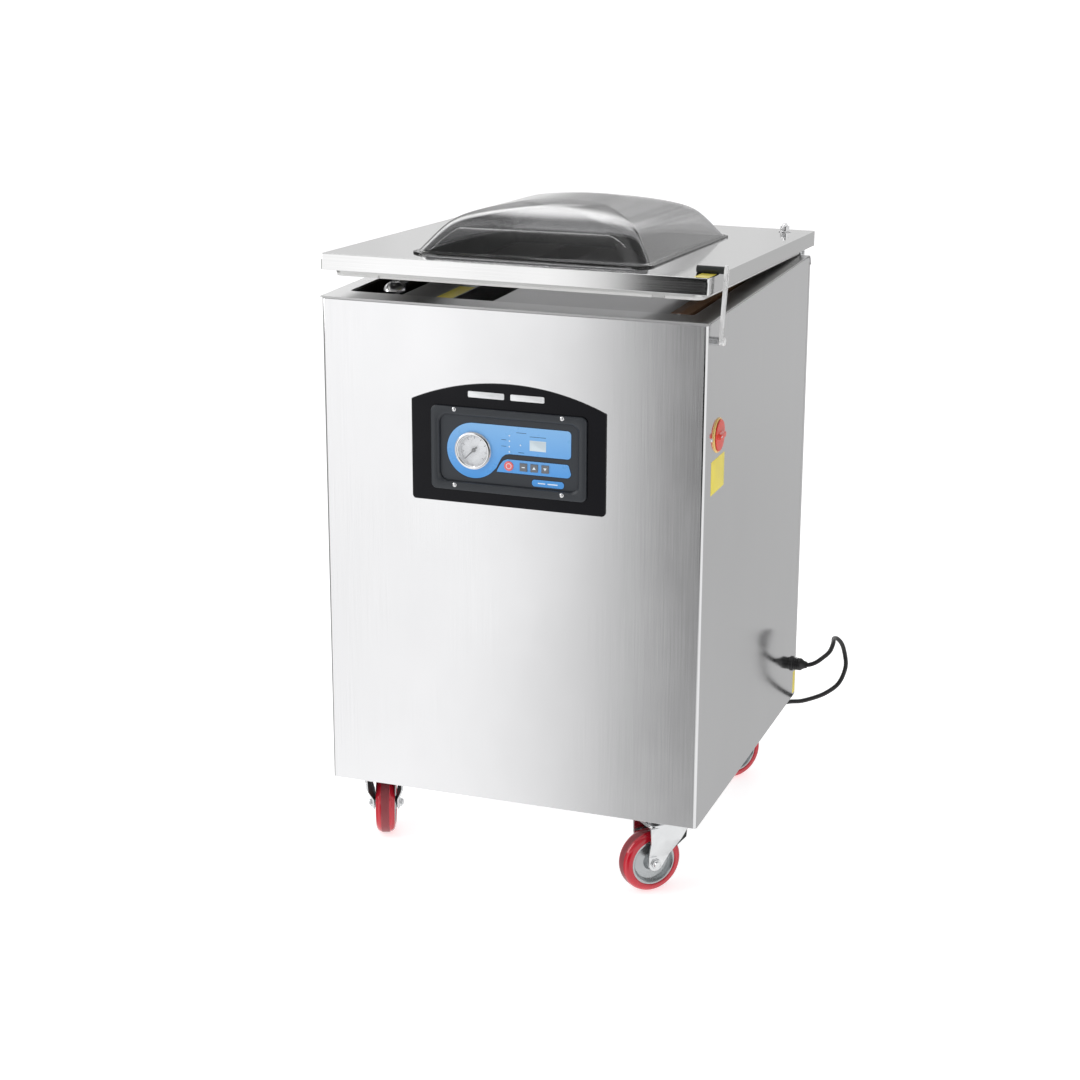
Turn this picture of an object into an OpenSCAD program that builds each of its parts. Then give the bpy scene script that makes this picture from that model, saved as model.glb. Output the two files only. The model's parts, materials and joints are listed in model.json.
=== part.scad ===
// Floor-standing chamber vacuum sealer on four swivel casters.
// The front faces -Y, +Z is up, and the origin is the centre of the object's box on the floor.

/* [Cabinet] */
// Width of the cabinet
cab_w = 610; // [600:1:620]
// Depth of the cabinet
cab_d = 628; // [620:1:640]
// Height of the cabinet, from the base pan to the top of the deck
cab_h = 788; // [760:1:820]
// Thickness of the cabinet's sheet metal
sheet = 2; // [1.5:0.5:2.5]
// Outside radius of the folded front corners
fold_r = 5; // [4:1:8]

/* [Deck and chamber] */
// Thickness of the deck plate
deck_t = 4; // [3:0.5:5]
// How far the deck plate stands proud of the cabinet
deck_lip = 1.5; // [1:0.5:2]
// Radius of the roll where the deck turns down at the rear
roll_r = 18; // [14:1:20]
// Depth of the chamber tub
tub_h = 200; // [180:5:240]
// Width of the sealing bars
bar_w = 28; // [24:1:30]
// Distance of each sealing bar from the middle
bar_x = 244; // [240:1:246]
// How far the sealing bars lift
bar_lift = 5; // [3:0.5:5]

/* [Lid] */
// Angle at which the lid rests ajar
lid_ajar = 2.64; // [2.5:0.1:3.5]
// Height of the lid's folded edge
lid_h = 25; // [22:1:30]
// Depth of the lid, front to back
lid_d = 655.6; // [650:1:660]
// Gap between the closed lid's edge and the deck
lid_gap = 10.2; // [10:0.1:12]
// Height of the hinge pins above the floor
hinge_z = 916; // [912:1:918]

/* [Dome] */
// Width of the clear dome over its flange
dome_w = 384; // [375:1:390]
// Depth of the clear dome over its flange
dome_d = 470; // [460:1:480]
// Height of the dome above the lid
dome_h = 76; // [60:1:84]
// Thickness of the dome's wall
dome_t = 5; // [4:0.5:6]

/* [Controls] */
// Width of the arched bezel
bezel_w = 311; // [305:1:320]
// Width of the raised frame
panel_w = 249; // [245:1:255]
// Height of the raised frame
panel_h = 130; // [126:1:134]
// Height of the middle of the raised frame above the floor
panel_z = 699.5; // [660:0.5:740]
// Travel of the keys
key_travel = 0.7; // [0.5:0.1:0.8]

/* [Casters] */
// Diameter of the caster wheels
wheel_d = 100; // [98:0.5:101]
// Width of the caster wheels
wheel_w = 32; // [28:1:32]
// Height of the casters
caster_h = 130; // [128:1:134]
// Distance from the swivel axis to the wheel's axle
trail = 38; // [37:1:40]
// Distance of the swivel axes from the cabinet's sides
caster_in_x = 60; // [58:1:64]
// Distance of the swivel axes from the cabinet's front and rear
caster_in_y = 68; // [66:1:72]

/* [Mains lead] */
// Diameter of the mains lead
cord_d = 8; // [7:0.5:9]

/* [Hidden] */
$fn = 48;
eps = 0.01;
hull_fn = 32;
run_gap = 0.05;

deck_z = caster_h + cab_h;
half_w = cab_w / 2;
half_d = cab_d / 2;

// The latch stud, and the head of the thumb screw that goes in it
stud_y = -281.7;
stud_z = 886.2;
stud_len = 7.9;
thumb_out = 17;
thumb_x = half_w + thumb_out;
gland_len = 27;
box_left = -half_w - deck_lip;
box_right = half_w + gland_len;
bezel_t = 3;
frame_t = 5;
screw_head = 1.2;
box_front = -half_d - bezel_t - frame_t - screw_head;
ear_r = 12;
hinge_y = 331;
box_back = hinge_y + ear_r;
shift_x = -(box_left + box_right) / 2;
shift_y = -(box_front + box_back) / 2;

// The tub's opening, in the deck
tub_x0 = -281;
tub_x1 = 269;
tub_y0 = -264;
tub_y1 = 278;
tub_w = tub_x1 - tub_x0;
tub_d = tub_y1 - tub_y0;
tub_cx = (tub_x0 + tub_x1) / 2;
tub_cy = (tub_y0 + tub_y1) / 2;
tub_r = 10;
tub_floor = deck_z - tub_h;
port_h = 190;
plate_top = deck_z - 4;

// Sealing bars: the right one runs the length of the chamber, and the left one starts
// behind the standpipe.
bar_top = deck_z - 2;
bar_h = 20;
bar_y1 = 196;
bar_y0 = [-162, -262];
post_r = 6;
lift_r = 16;
lift_h = 110;
post_in = 40;

// Lid, drawn closed and level, then turned about the hinge to where it rests
lid_z0 = deck_z + lid_gap;
lid_top = lid_z0 + lid_h;
lid_y0 = -316.4;
lid_cy = lid_y0 + lid_d / 2;
under_t = 6;
under_w = 582;
under_d = 606;
under_cy = 3;
dome_cx = 6;
dome_cy = -30;
dome_r = 34;
dome_in = 10;
dome_flange = 5;
dome_slope = 1.35;
dome_ridge = 0.53;
dome_blend = 6;
dome_rings = 12;
dome_side = 8;

hinge_x = 262;
pin_r = 5;
knuckle_w = 39;
knuckle_r = 11;
ear_t = 5;

// Stay: a barrel on the lid and an arm that reaches down to the stud
stay_y = -259;
stay_z = 986;
barrel_r = 5.5;
barrel_x0 = 271;
barrel_x1 = 313;
arm_x = 313.5;
arm_t = 4;
arm_pin_r = 3;
arm_pin_len = 14;
thumb_r = 2.9;

// Controls
front_y = -half_d;
bezel_cx = -2;
bezel_side_h = 157;
bezel_arch = 33;
bezel_z0 = 614;
recess_w = 222;
recess_h = 103;
screw_dx = 86.3;
screw_dz = 59;
screw_up = 2;
gauge_x = -57.5;
gauge_z = 697.8;
gauge_r = 27;
key_z = 678.8;
start_x = 0;
start_r = 7.5;
key_x = [23.5, 40.7, 58.2];
key_w = 12;
key_h = 12.5;
key_out = 3.2;
display_x = 46.4;
display_z = 713.4;
display_w = 26;
display_h = 16;

// Main switch
switch_y = -245.4;
switch_z = 737;
switch_ring_r = 26.5;
switch_knob_r = 24;

// Casters: [x, y, heading of the trailing wheel]
cx = half_w - caster_in_x;
cy = half_d - caster_in_y;
CASTERS = [[cx, -cy, 226], [-cx, -cy, 111], [cx, cy, 230], [-cx, cy, 60]];
axle_z = wheel_d / 2;
axle_r = 5;
hub_r = 37;
crown_z = 113;
leg_in = 19;
leg_splay = 8;
fork_back = 52;
tread_round = 11;
leg_t = 3;
king_r = 5;

// Mains lead
gland_y = 285;
gland_z = 197;
gland_r = 11;
gland_hole_r = 9.2;
ROUTE = [
    [312, 285, 197], [332, 285, 197], [346, 287, 202], [357, 293, 210], [367, 306, 219],
    [369, 325, 229], [365, 347, 230], [368, 366, 223], [374, 378, 209], [379, 382, 188],
    [382, 378, 170], [378, 371, 151], [370, 366, 136], [354, 367, 121], [335, 371, 108],
    [304, 377, 93], [277, 384, 85], [250, 389, 70], [228, 393, 51], [205, 398, 31],
    [182, 406, 15], [158, 417, 6], [132, 434, 4.4]
];
coil_x = 96;
coil_y = 400;
coil_mid_r = 46;
coil_wide = 2;
coil_high = 2;
ring_sides = 10;

// ---- Helpers ----

module place() {
    translate([shift_x, shift_y, 0]) children();
}

// Turns what is drawn on the closed lid to where the lid rests.
module on_lid() {
    translate([0, hinge_y, hinge_z]) rotate([-lid_ajar, 0, 0])
        translate([0, -hinge_y, -hinge_z]) children();
}

// A rectangle with round corners, centred
module round_rect(w, d, r) {
    square([w - 2 * r, d], center = true);
    square([w, d - 2 * r], center = true);
    for (sx = [-1, 1], sy = [-1, 1])
        translate([sx * (w / 2 - r), sy * (d / 2 - r)]) circle(r);
}

module slab(w, d, r, z0, h) {
    translate([0, 0, z0]) linear_extrude(h) round_rect(w, d, r);
}

// Extrudes an XZ outline along Y, from y0 to y0 + t.
module xz_plate(y0, t) {
    translate([0, y0 + t, 0]) rotate([90, 0, 0]) linear_extrude(t) children();
}

// Extrudes a YZ outline along X, from x0 to x0 + t.
module yz_plate(x0, t) {
    translate([x0, 0, 0]) rotate([90, 0, 90]) linear_extrude(t) children();
}

module rod_x(x0, len, y, z, r) {
    translate([x0, y, z]) rotate([0, 90, 0]) cylinder(r = r, h = len);
}

module rod_y(x, y0, len, z, r) {
    translate([x, y0 + len, z]) rotate([90, 0, 0]) cylinder(r = r, h = len);
}

module hex_y(x, y0, len, z, r) {
    translate([x, y0 + len, z]) rotate([90, 0, 0]) cylinder(r = r, h = len, $fn = 6);
}

// ---- Cabinet ----

module base_pan() {
    pan_w = cab_w - 2 * sheet - 1;
    pan_d = cab_d - 2 * sheet - 1;
    color("silver") difference() {
        slab(pan_w, pan_d, 4, caster_h, 28);
        slab(pan_w - 6, pan_d - 6, 3, caster_h + 3, 28);
        for (c = CASTERS) caster_holes(c, caster_h - 1, 6);
    }
}

module shell_outline(grow) {
    translate([-half_w + grow, -half_d + fold_r]) square([cab_w - 2 * grow, cab_d]);
    translate([-half_w + fold_r, -half_d + grow]) square([cab_w - 2 * fold_r, cab_d]);
    for (s = [-1, 1])
        translate([s * (half_w - fold_r), -half_d + fold_r]) circle(fold_r - grow);
}

module cabinet_shell() {
    color("silver") difference() {
        translate([0, 0, caster_h]) linear_extrude(cab_h - deck_t) difference() {
            intersection() {
                shell_outline(0);
                square([cab_w, cab_d], center = true);
            }
            shell_outline(sheet);
        }
        translate([-105, front_y - 1, panel_z - 47]) cube([210, sheet + 2, 94]);
        rod_x(half_w - 5, 10, switch_y, switch_z, 11);
        rod_x(half_w - 5, 10, gland_y, gland_z, gland_hole_r);
        yz_plate(-cab_w, 2 * cab_w) outside_roll(roll_r - deck_t / 2);
    }
}

// What lies outside a round of radius r at the top of the rear, seen from the side
module outside_roll(r) {
    far = 2 * roll_r;
    arc = [for (a = [0:7.5:90]) [r * cos(a), r * sin(a)]];
    translate([half_d - roll_r, deck_z - roll_r])
        polygon([[far, 0], [far, far], [0, far], each [for (i = [len(arc) - 1:-1:0]) arc[i]]]);
}

module rear_panel() {
    y0 = half_d - sheet;
    color("gray") difference() {
        union() {
            translate([-half_w + sheet + 0.5, y0, caster_h + 4])
                cube([cab_w - 2 * sheet - 1, sheet, cab_h - roll_r - 4.5]);
            for (x = [-130, 130], i = [0:7]) louvre(x, y0 + sheet, 240 + 22 * i);
        }
        for (x = [-130, 130], i = [0:7])
            translate([x - 60, y0 - 1, 240 + 22 * i]) cube([120, sheet + 2, 6]);
    }
}

// A pressed hood over a slot, open below
module louvre(x, y, z) {
    hood = [[0, 10], [0, 8.8], [4, 0], [5, 0], [5, 1]];
    yz_plate(x - 60, 120) translate([y, z]) polygon(hood);
}

// A thin lip over a shadow gap, which rolls down over the rear
module deck_plate() {
    flat_end = half_d - roll_r;
    color("silver") difference() {
        union() {
            yz_plate(-half_w - deck_lip, cab_w + 2 * deck_lip) deck_lip_side(deck_t / 2, flat_end);
            translate([-half_w + 1, -half_d + 1, deck_z - deck_t])
                cube([cab_w - 2, half_d - 1 + flat_end, deck_t / 2 + 0.5]);
        }
        translate([tub_cx, tub_cy, 0])
            slab(tub_w, tub_d, tub_r, deck_z - deck_t - 1, deck_t + 2);
    }
}

// The lip seen from the side: flat, with a quarter round at the rear
module deck_lip_side(t, flat_end) {
    front = -half_d - deck_lip;
    arc = [for (a = [90:-7.5:0]) [cos(a), sin(a)]];
    outer = [for (p = arc) [flat_end, deck_z - roll_r] + roll_r * p];
    inner = [for (i = [len(arc) - 1:-1:0]) [flat_end, deck_z - roll_r] + (roll_r - t) * arc[i]];
    polygon([[front, deck_z - t], [front, deck_z], each outer, each inner]);
}

module chamber_tub() {
    color("dimgray") translate([tub_cx, tub_cy, 0]) difference() {
        union() {
            slab(tub_w + 2 * sheet, tub_d + 2 * sheet, tub_r + sheet, tub_floor - sheet,
                 tub_h + sheet - deck_t);
            slab(tub_w + 26, tub_d + 26, tub_r + 13, deck_z - deck_t - sheet, sheet);
        }
        slab(tub_w, tub_d, tub_r, tub_floor, tub_h);
        translate([-tub_cx, -tub_cy, tub_floor - 5]) cylinder(r = 14, h = 10);
    }
}

module filler_plates() {
    color("lightgray") {
        filler(-52, 226);
        filler(-201, -117);
    }
}

// A loose plate on two runners, which brings the bag up to the sealing bars
module filler(x0, x1) {
    t = 4;
    y0 = tub_y0 + 2;
    len = tub_d - 6;
    translate([x0, y0, plate_top - t]) cube([x1 - x0, len, t]);
    for (x = [x0 + 2, x1 - 6])
        translate([x, y0 + 20, tub_floor]) cube([4, len - 40, plate_top - t - tub_floor]);
}

module port_cap() {
    color("silver") translate([-237, -192, 0]) {
        translate([0, 0, tub_floor]) cylinder(r = 8, h = port_h);
        translate([0, 0, tub_floor + port_h]) rotate_extrude() intersection() {
            translate([0, -4]) circle(19);
            square([18, 14]);
        }
    }
}

module lift_cylinders() {
    color("black") for (i = [0, 1], y = bar_posts(i))
        translate([bar_side(i) * bar_x, y, tub_floor]) difference() {
            cylinder(r = lift_r, h = lift_h);
            translate([0, 0, 10]) cylinder(r = post_r + run_gap, h = lift_h);
        }
}

function bar_side(i) = i == 0 ? -1 : 1;
function bar_posts(i) = [bar_y0[i] + 50, bar_y1 - 50];

module hinge_brackets() {
    color("silver") for (s = [-1, 1]) translate([s * hinge_x, 0, 0]) {
        translate([-30, half_d, hinge_z - 56]) cube([60, 4, 48]);
        for (e = [-1, 1]) hinge_ear(e * (knuckle_w / 2 + 0.5 + ear_t / 2));
        rod_x(-knuckle_w / 2 - 8, knuckle_w + 16, hinge_y, hinge_z, pin_r);
    }
}

module hinge_ear(x) {
    yz_plate(x - ear_t / 2, ear_t) {
        translate([hinge_y, hinge_z]) circle(ear_r);
        polygon([[half_d + 1, hinge_z - 50], [half_d + 1, hinge_z - 4],
                 [hinge_y, hinge_z + 2], [hinge_y + ear_r - 1, hinge_z - 5]]);
    }
}

// A threaded hexagonal stud for the stay arm's thumb screw
module latch_stud() {
    color("dimgray") difference() {
        translate([half_w, stud_y, stud_z]) rotate([0, 90, 0])
            cylinder(r = 6.5, h = stud_len, $fn = 6);
        rod_x(half_w + 1, stud_len, stud_y, stud_z, thumb_r + 0.1);
    }
}

// ---- Casters ----

module at_caster(c) {
    translate([c[0], c[1], 0]) rotate([0, 0, c[2]]) children();
}

module caster_holes(c, z0, h) {
    for (sx = [-1, 1], sy = [-1, 1])
        translate([c[0] + sx * 36, c[1] + sy * 27, z0]) cylinder(r = 4.4, h = h);
}

module caster_plates() {
    color("silver") for (c = CASTERS) {
        difference() {
            translate([c[0], c[1], 0]) slab(92, 74, 6, caster_h - 3, 3);
            caster_holes(c, caster_h - 4, 6);
        }
        translate([c[0], c[1], 0]) {
            translate([0, 0, crown_z + 6]) cylinder(r = 30, h = caster_h - 9 - crown_z);
            translate([0, 0, crown_z - 6.6]) cylinder(r = 9, h = 6, $fn = 6);
            translate([0, 0, crown_z - 4]) cylinder(r = king_r, h = 12);
        }
    }
}

module caster_bolts() {
    color("gainsboro") for (c = CASTERS, sx = [-1, 1], sy = [-1, 1])
        translate([c[0] + sx * 36, c[1] + sy * 27, 0]) {
            translate([0, 0, caster_h - 8]) cylinder(r = 6.8, h = 5, $fn = 6);
            translate([0, 0, caster_h - 8]) cylinder(r = 4, h = 22);
            translate([0, 0, caster_h + 3]) cylinder(r = 6.8, h = 6, $fn = 6);
        }
}

// A pressed fork with its axle
module fork(c) {
    color("silver") at_caster(c) {
        difference() {
            translate([(fork_back - 27) / 2, 0, 0]) slab(fork_back + 27, 60, 12, crown_z, 5);
            translate([0, 0, crown_z - 1]) cylinder(r = king_r + run_gap, h = 8);
        }
        intersection() {
            xz_plate(-leg_in - 20, 2 * leg_in + 40) fork_side();
            yz_plate(-40, 2 * trail + 40) fork_front();
        }
        rod_y(trail, -leg_in - 7, 2 * leg_in + 14, axle_z, axle_r);
        for (y = [-leg_in - 7, leg_in + leg_t]) hex_y(trail, y, 4, axle_z, 8.5);
        for (y = [-leg_in, leg_in - 1.7]) rod_y(trail, y, 1.7, axle_z, 9);
    }
}

// The fork seen from the side: broad at the crown, upright at the back, narrowing to the axle
module fork_side() {
    polygon([[-20, crown_z + 1], [fork_back, crown_z + 1], [trail + 12, axle_z], [trail - 11, axle_z - 6]]);
    translate([trail, axle_z]) circle(12);
}

// The fork's two legs seen end on: they come down from the crown and lean in to the axle
module fork_front() {
    x = leg_in + leg_splay;
    for (s = [-1, 1]) scale([s, 1]) {
        polygon([[x, crown_z + 1], [x + leg_t, crown_z + 1], [x + leg_t, 88], [leg_in + leg_t, 62],
                 [leg_in + leg_t, 30], [leg_in, 30], [leg_in, 62.6], [x, 88.6]]);
    }
}

module hub(c) {
    color("darkgray") at_caster(c) translate([trail, 0, axle_z]) rotate([90, 0, 0])
        rotate_extrude($fn = 72) polygon([
            [axle_r + run_gap, -17], [12, -17], [14, -9], [29, -6], [32, -14], [hub_r, -14],
            [hub_r, 14], [32, 14], [29, 6], [14, 9], [12, 17], [axle_r + run_gap, 17]
        ]);
}

module tread(c) {
    r = wheel_d / 2;
    b = wheel_w / 2;
    side = [for (a = [0:30:90]) [r - tread_round * (1 - sin(a)), b - tread_round * (1 - cos(a))]];
    lower = [for (p = side) [p[0], -p[1]]];
    upper = [for (i = [len(side) - 1:-1:0]) side[i]];
    color("red") at_caster(c) translate([trail, 0, axle_z]) rotate([90, 0, 0])
        rotate_extrude($fn = 72) polygon([
            [hub_r, -14], [hub_r + 1, -b], each lower, each upper, [hub_r + 1, b], [hub_r, 14]
        ]);
}

// ---- Controls ----

module control_bezel() {
    arch_r = (pow(bezel_w / 2, 2) + pow(bezel_arch, 2)) / (2 * bezel_arch);
    top = bezel_z0 + bezel_side_h + bezel_arch;
    color("black") xz_plate(front_y - bezel_t, bezel_t) difference() {
        intersection() {
            translate([bezel_cx, bezel_z0 + 100]) round_rect(bezel_w, 200, 6);
            translate([bezel_cx, top - arch_r]) circle(arch_r, $fn = 240);
        }
        translate([0, panel_z]) square([226, 107], center = true);
    }
}

module control_frame() {
    color("dimgray") difference() {
        xz_plate(front_y - bezel_t - frame_t, frame_t) translate([0, panel_z]) difference() {
            round_rect(panel_w, panel_h, 9);
            round_rect(recess_w, recess_h, 12);
        }
        for (p = frame_screw_places())
            rod_y(p[0], front_y - 9, 9.2, p[1], 2.2);
    }
}

function frame_screw_places() =
    [for (sx = [-1, 1], sz = [-1, 1]) [sx * screw_dx, panel_z + screw_up + sz * screw_dz]];

module frame_screws() {
    color("silver") for (p = frame_screw_places()) {
        rod_y(p[0], box_front, screw_head, p[1], 3.6);
        rod_y(p[0], box_front, frame_t + 1, p[1], 2);
    }
}

module key_overlay() {
    color("gray") difference() {
        xz_plate(front_y - 2, 2) translate([0, panel_z]) difference() {
            square([225, 106], center = true);
            translate([gauge_x, gauge_z - panel_z]) circle(gauge_r + 0.3);
            translate([start_x, key_z - panel_z]) circle(start_r + 0.4);
            for (x = key_x) translate([x, key_z - panel_z])
                square([key_w + 0.8, key_h + 0.8], center = true);
            translate([display_x, display_z - panel_z])
                square([display_w, display_h], center = true);
        }
    }
}

module display_window() {
    color("darkslategray") xz_plate(front_y - 2.3, 4.3) translate([display_x, display_z])
        square([display_w, display_h], center = true);
}

module gauge_case() {
    color("white") {
        difference() {
            rod_y(gauge_x, front_y - 5, 33, gauge_z, gauge_r);
            rod_y(gauge_x, front_y - 6, 9, gauge_z, gauge_r - 3);
            rod_y(gauge_x, front_y - 6, 15, gauge_z, 1 + run_gap);
        }
        difference() {
            rod_y(gauge_x, front_y - 5, 2.9, gauge_z, gauge_r + 2);
            rod_y(gauge_x, front_y - 6, 5, gauge_z, gauge_r - 3);
        }
    }
}

module gauge_lens() {
    color("lightcyan") rod_y(gauge_x, front_y - 4.5, 2, gauge_z, gauge_r - 3);
}

module gauge_needle() {
    color("black") translate([gauge_x, 0, gauge_z]) {
        xz_plate(front_y, 0.8) rotate(225) {
            circle(3);
            polygon([[-7, -1.4], [21, -0.5], [21, 0.5], [-7, 1.4]]);
        }
        rod_y(0, front_y + 0.5, 6.5, 0, 1);
    }
}

// A key cap, which stops short of its switch by the key's travel
module key_cap(x) {
    xz_plate(front_y - key_out, key_out + 4 - key_travel - 0.1) translate([x, key_z])
        round_rect(key_w, key_h, 1.2);
}

module start_key() {
    color("red") rod_y(start_x, front_y - key_out, key_out + 4 - key_travel - 0.1, key_z, start_r);
}

module left_key() {
    color("dimgray") key_cap(key_x[0]);
}

module middle_key() {
    color("dimgray") key_cap(key_x[1]);
}

module right_key() {
    color("dimgray") key_cap(key_x[2]);
}

module control_board() {
    color("green") {
        difference() {
            translate([-88, front_y + 16, panel_z - 45]) cube([196, 1.6, 90]);
            rod_y(gauge_x, front_y + 10, 10, gauge_z, gauge_r + 1);
        }
        for (x = [start_x, each key_x])
            translate([x - 3, front_y + 4, key_z - 3]) cube([6, 12, 6]);
        for (x = [-20, 100], z = [panel_z - 40, panel_z + 40])
            rod_y(x, front_y + sheet, 16 - sheet, z, 3);
    }
}

module switch_plate() {
    color("gold") difference() {
        rod_x(half_w, 2, switch_y, switch_z, switch_ring_r);
        rod_x(half_w - 1, 4, switch_y, switch_z, 11);
    }
}

module switch_body() {
    color("black") difference() {
        union() {
            translate([half_w - 32, switch_y - 24, switch_z - 24]) cube([28, 48, 48]);
            rod_x(half_w - 5, 7, switch_y, switch_z, 10.7);
        }
        rod_x(half_w - 24, 40, switch_y, switch_z, 3 + run_gap);
    }
}

module switch_knob() {
    color("red") {
        rod_x(half_w + 2.4, 2, switch_y, switch_z, switch_knob_r);
        translate([half_w + 4, switch_y - 16, switch_z - 5]) cube([5, 32, 10]);
        rod_x(half_w - 20, 25, switch_y, switch_z, 3);
    }
}

// ---- Inside ----

module vacuum_pump() {
    color("darkseagreen") {
        difference() {
            translate([-190, -60, caster_h + 17]) cube([150, 170, 190]);
            translate([-200, -70, caster_h + 190]) cube([60, 190, 40]);
        }
        for (y = [-50, 70]) translate([-190, y, caster_h + 3]) cube([400, 30, 14]);
        translate([-90, 25, caster_h + 207]) cylinder(r = 16, h = 30);
    }
}

module pump_motor() {
    color("steelblue") translate([0, 25, caster_h + 107]) {
        rod_x(-40, 180, 0, 0, 62);
        for (i = [0:7]) rod_x(-20 + 18 * i, 4, 0, 0, 70);
        rod_x(140, 50, 0, 0, 66);
    }
    color("steelblue") translate([-10, -25, caster_h + 17]) cube([130, 100, 30]);
}

module exhaust_filter() {
    color("white") translate([-236, 25, caster_h + 60]) {
        cylinder(r = 44, h = 150);
        translate([0, 0, 150]) cylinder(r = 30, h = 12);
    }
}

// The suction hose: up from the pump, across, and up into the tub's floor
module vacuum_hose() {
    r = 12;
    bend = 40;
    z0 = caster_h + 237;
    z1 = tub_floor - 2;
    run = 90 - 2 * bend;
    mid = (z0 + z1) / 2;
    color("dimgray") {
        translate([-90, 25, z0]) cylinder(r = r, h = mid - bend - z0);
        translate([-90 + bend, 25, mid - bend]) rotate([90, 0, 180])
            rotate_extrude(angle = 90) translate([bend, 0]) circle(r);
        rod_x(-90 + bend, run, 25, mid, r);
        translate([-bend, 25, mid + bend]) rotate([90, 0, 0]) rotate([0, 0, -90])
            rotate_extrude(angle = 90) translate([bend, 0]) circle(r);
        translate([0, 25, mid + bend]) cylinder(r = r, h = z1 - mid - bend);
    }
}

module transformer() {
    color("darkorange") translate([140, -140, caster_h + 3]) {
        translate([-50, -40, 0]) cube([100, 80, 24]);
        translate([-30, -32, 24]) cube([60, 64, 50]);
        translate([-50, -40, 74]) cube([100, 80, 20]);
    }
}

// ---- Mains lead ----

// A moulded strain relief: a stout body, a round shoulder and a taper to the lead
module cord_gland() {
    body = 15;
    color("black") translate([half_w, gland_y, gland_z]) rotate([0, 90, 0]) difference() {
        union() {
            cylinder(r = gland_r + 2, h = 3);
            cylinder(r = gland_r, h = body);
            translate([0, 0, body]) cylinder(r1 = gland_r, r2 = 6, h = gland_len - body);
            translate([0, 0, -14]) cylinder(r = 9, h = 16);
        }
        translate([0, 0, -20]) cylinder(r = cord_d / 2 + 0.2, h = 60);
    }
}

function unit(v) = v / norm(v);
function tangent(p, i) = unit(p[min(i + 1, len(p) - 1)] - p[max(i - 1, 0)]);
function ring(c, t, r) =
    let (u = unit(cross(abs(t[2]) < 0.9 ? [0, 0, 1] : [1, 0, 0], t)), w = cross(t, u))
    [for (k = [0:ring_sides - 1]) let (a = 360 * k / ring_sides)
        c + r * (cos(a) * u + sin(a) * w)];

// A smooth curve through a list of points, with steps between each pair
function smooth_at(a, b, c, d, t) =
    0.5 * (2 * b + (c - a) * t + (2 * a - 5 * b + 4 * c - d) * t * t
           + (3 * b - a - 3 * c + d) * t * t * t);
function smooth(p, steps) = [
    for (i = [0:len(p) - 2], k = [0:steps - 1])
        smooth_at(p[max(i - 1, 0)], p[i], p[i + 1], p[min(i + 2, len(p) - 1)], k / steps),
    p[len(p) - 1]
];

// One closed tube along a path
module tube(path, r) {
    n = len(path);
    points = [for (i = [0:n - 1]) each ring(path[i], tangent(path, i), r)];
    sides = [
        for (i = [0:n - 2], k = [0:ring_sides - 1])
            let (a = i * ring_sides, b = a + ring_sides, m = (k + 1) % ring_sides)
            each [[a + k, b + m, a + m], [a + k, b + k, b + m]]
    ];
    first = [for (k = [0:ring_sides - 1]) k];
    last = [for (k = [ring_sides - 1:-1:0]) (n - 1) * ring_sides + k];
    polyhedron(points, concat(sides, [first, last]));
}

module power_cord() {
    color("black") tube(smooth(ROUTE, 2), cord_d / 2);
}

module cord_coil() {
    color("black") translate([coil_x, coil_y, 0]) rotate_extrude($fn = 72)
        translate([coil_mid_r - coil_wide * cord_d / 2, 0])
            square([coil_wide * cord_d, coil_high * cord_d]);
}

// The plug lies beside the coil, and its strain relief takes the outer turn's end.
module plug() {
    z = 1.5 * cord_d;
    color("black") translate([coil_x - 46, coil_y + coil_mid_r + cord_d / 2, 0]) {
        translate([-34, -12, 0]) cube([34, 24, 2 * z]);
        for (s = [-1, 1]) translate([-52, s * 6.35 - 0.8, z - 1]) cube([18, 1.6, 6.4]);
        rod_x(-52, 18, 0, z - 6.5, 2.4);
        translate([0, 0, z]) rotate([0, 90, 0]) cylinder(r1 = 7, r2 = 5, h = 34);
    }
}

// ---- Lid ----

module lid_frame() {
    color("silver") on_lid() translate([0, lid_cy, 0]) difference() {
        slab(cab_w, lid_d, 3, lid_z0, lid_h);
        slab(cab_w - 2 * sheet, lid_d - 2 * sheet, 1.5, lid_z0 + sheet, lid_h - 2 * sheet);
        translate([dome_cx, dome_cy - lid_cy, 0])
            slab(dome_w - 2 * dome_in, dome_d - 2 * dome_in, dome_r - dome_in, lid_z0 - 1,
                 lid_h + 2);
    }
}

module lid_under_plate() {
    color("lightgray") on_lid() difference() {
        union() {
            translate([0, under_cy, 0]) slab(under_w, under_d, 15, lid_z0 - under_t, under_t);
            for (s = [-1, 1]) translate([s * 225 - 9, under_cy - under_d / 2, lid_z0 - under_t - 3.5])
                cube([18, 8, 4]);
        }
        translate([dome_cx, dome_cy, 0])
            slab(dome_w - 2 * dome_in, dome_d - 2 * dome_in, dome_r - dome_in,
                 lid_z0 - under_t - 5, under_t + 10);
        for (i = [0, 1]) pad_box(i, lid_z0 - under_t - 5, 9);
    }
}

module pad_box(i, z0, h) {
    translate([bar_side(i) * bar_x - 8, bar_y0[i], z0]) cube([16, bar_y1 - bar_y0[i], h]);
}

module seal_pads() {
    color("white") on_lid() for (i = [0, 1]) pad_box(i, lid_z0 - under_t - 1, 5);
}

module lid_gasket() {
    z0 = deck_z + 0.2;
    color("whitesmoke") on_lid() translate([0, under_cy, 0]) difference() {
        slab(under_w - 2, under_d - 2, 14, z0, lid_z0 - under_t - z0);
        slab(under_w - 16, under_d - 16, 8, z0 - 1, 10);
        for (s = [-1, 1]) translate([s * 225 - 9.5, -under_d / 2 - 1, z0 - 1])
            cube([19, 9.5, 10]);
    }
}

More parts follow.
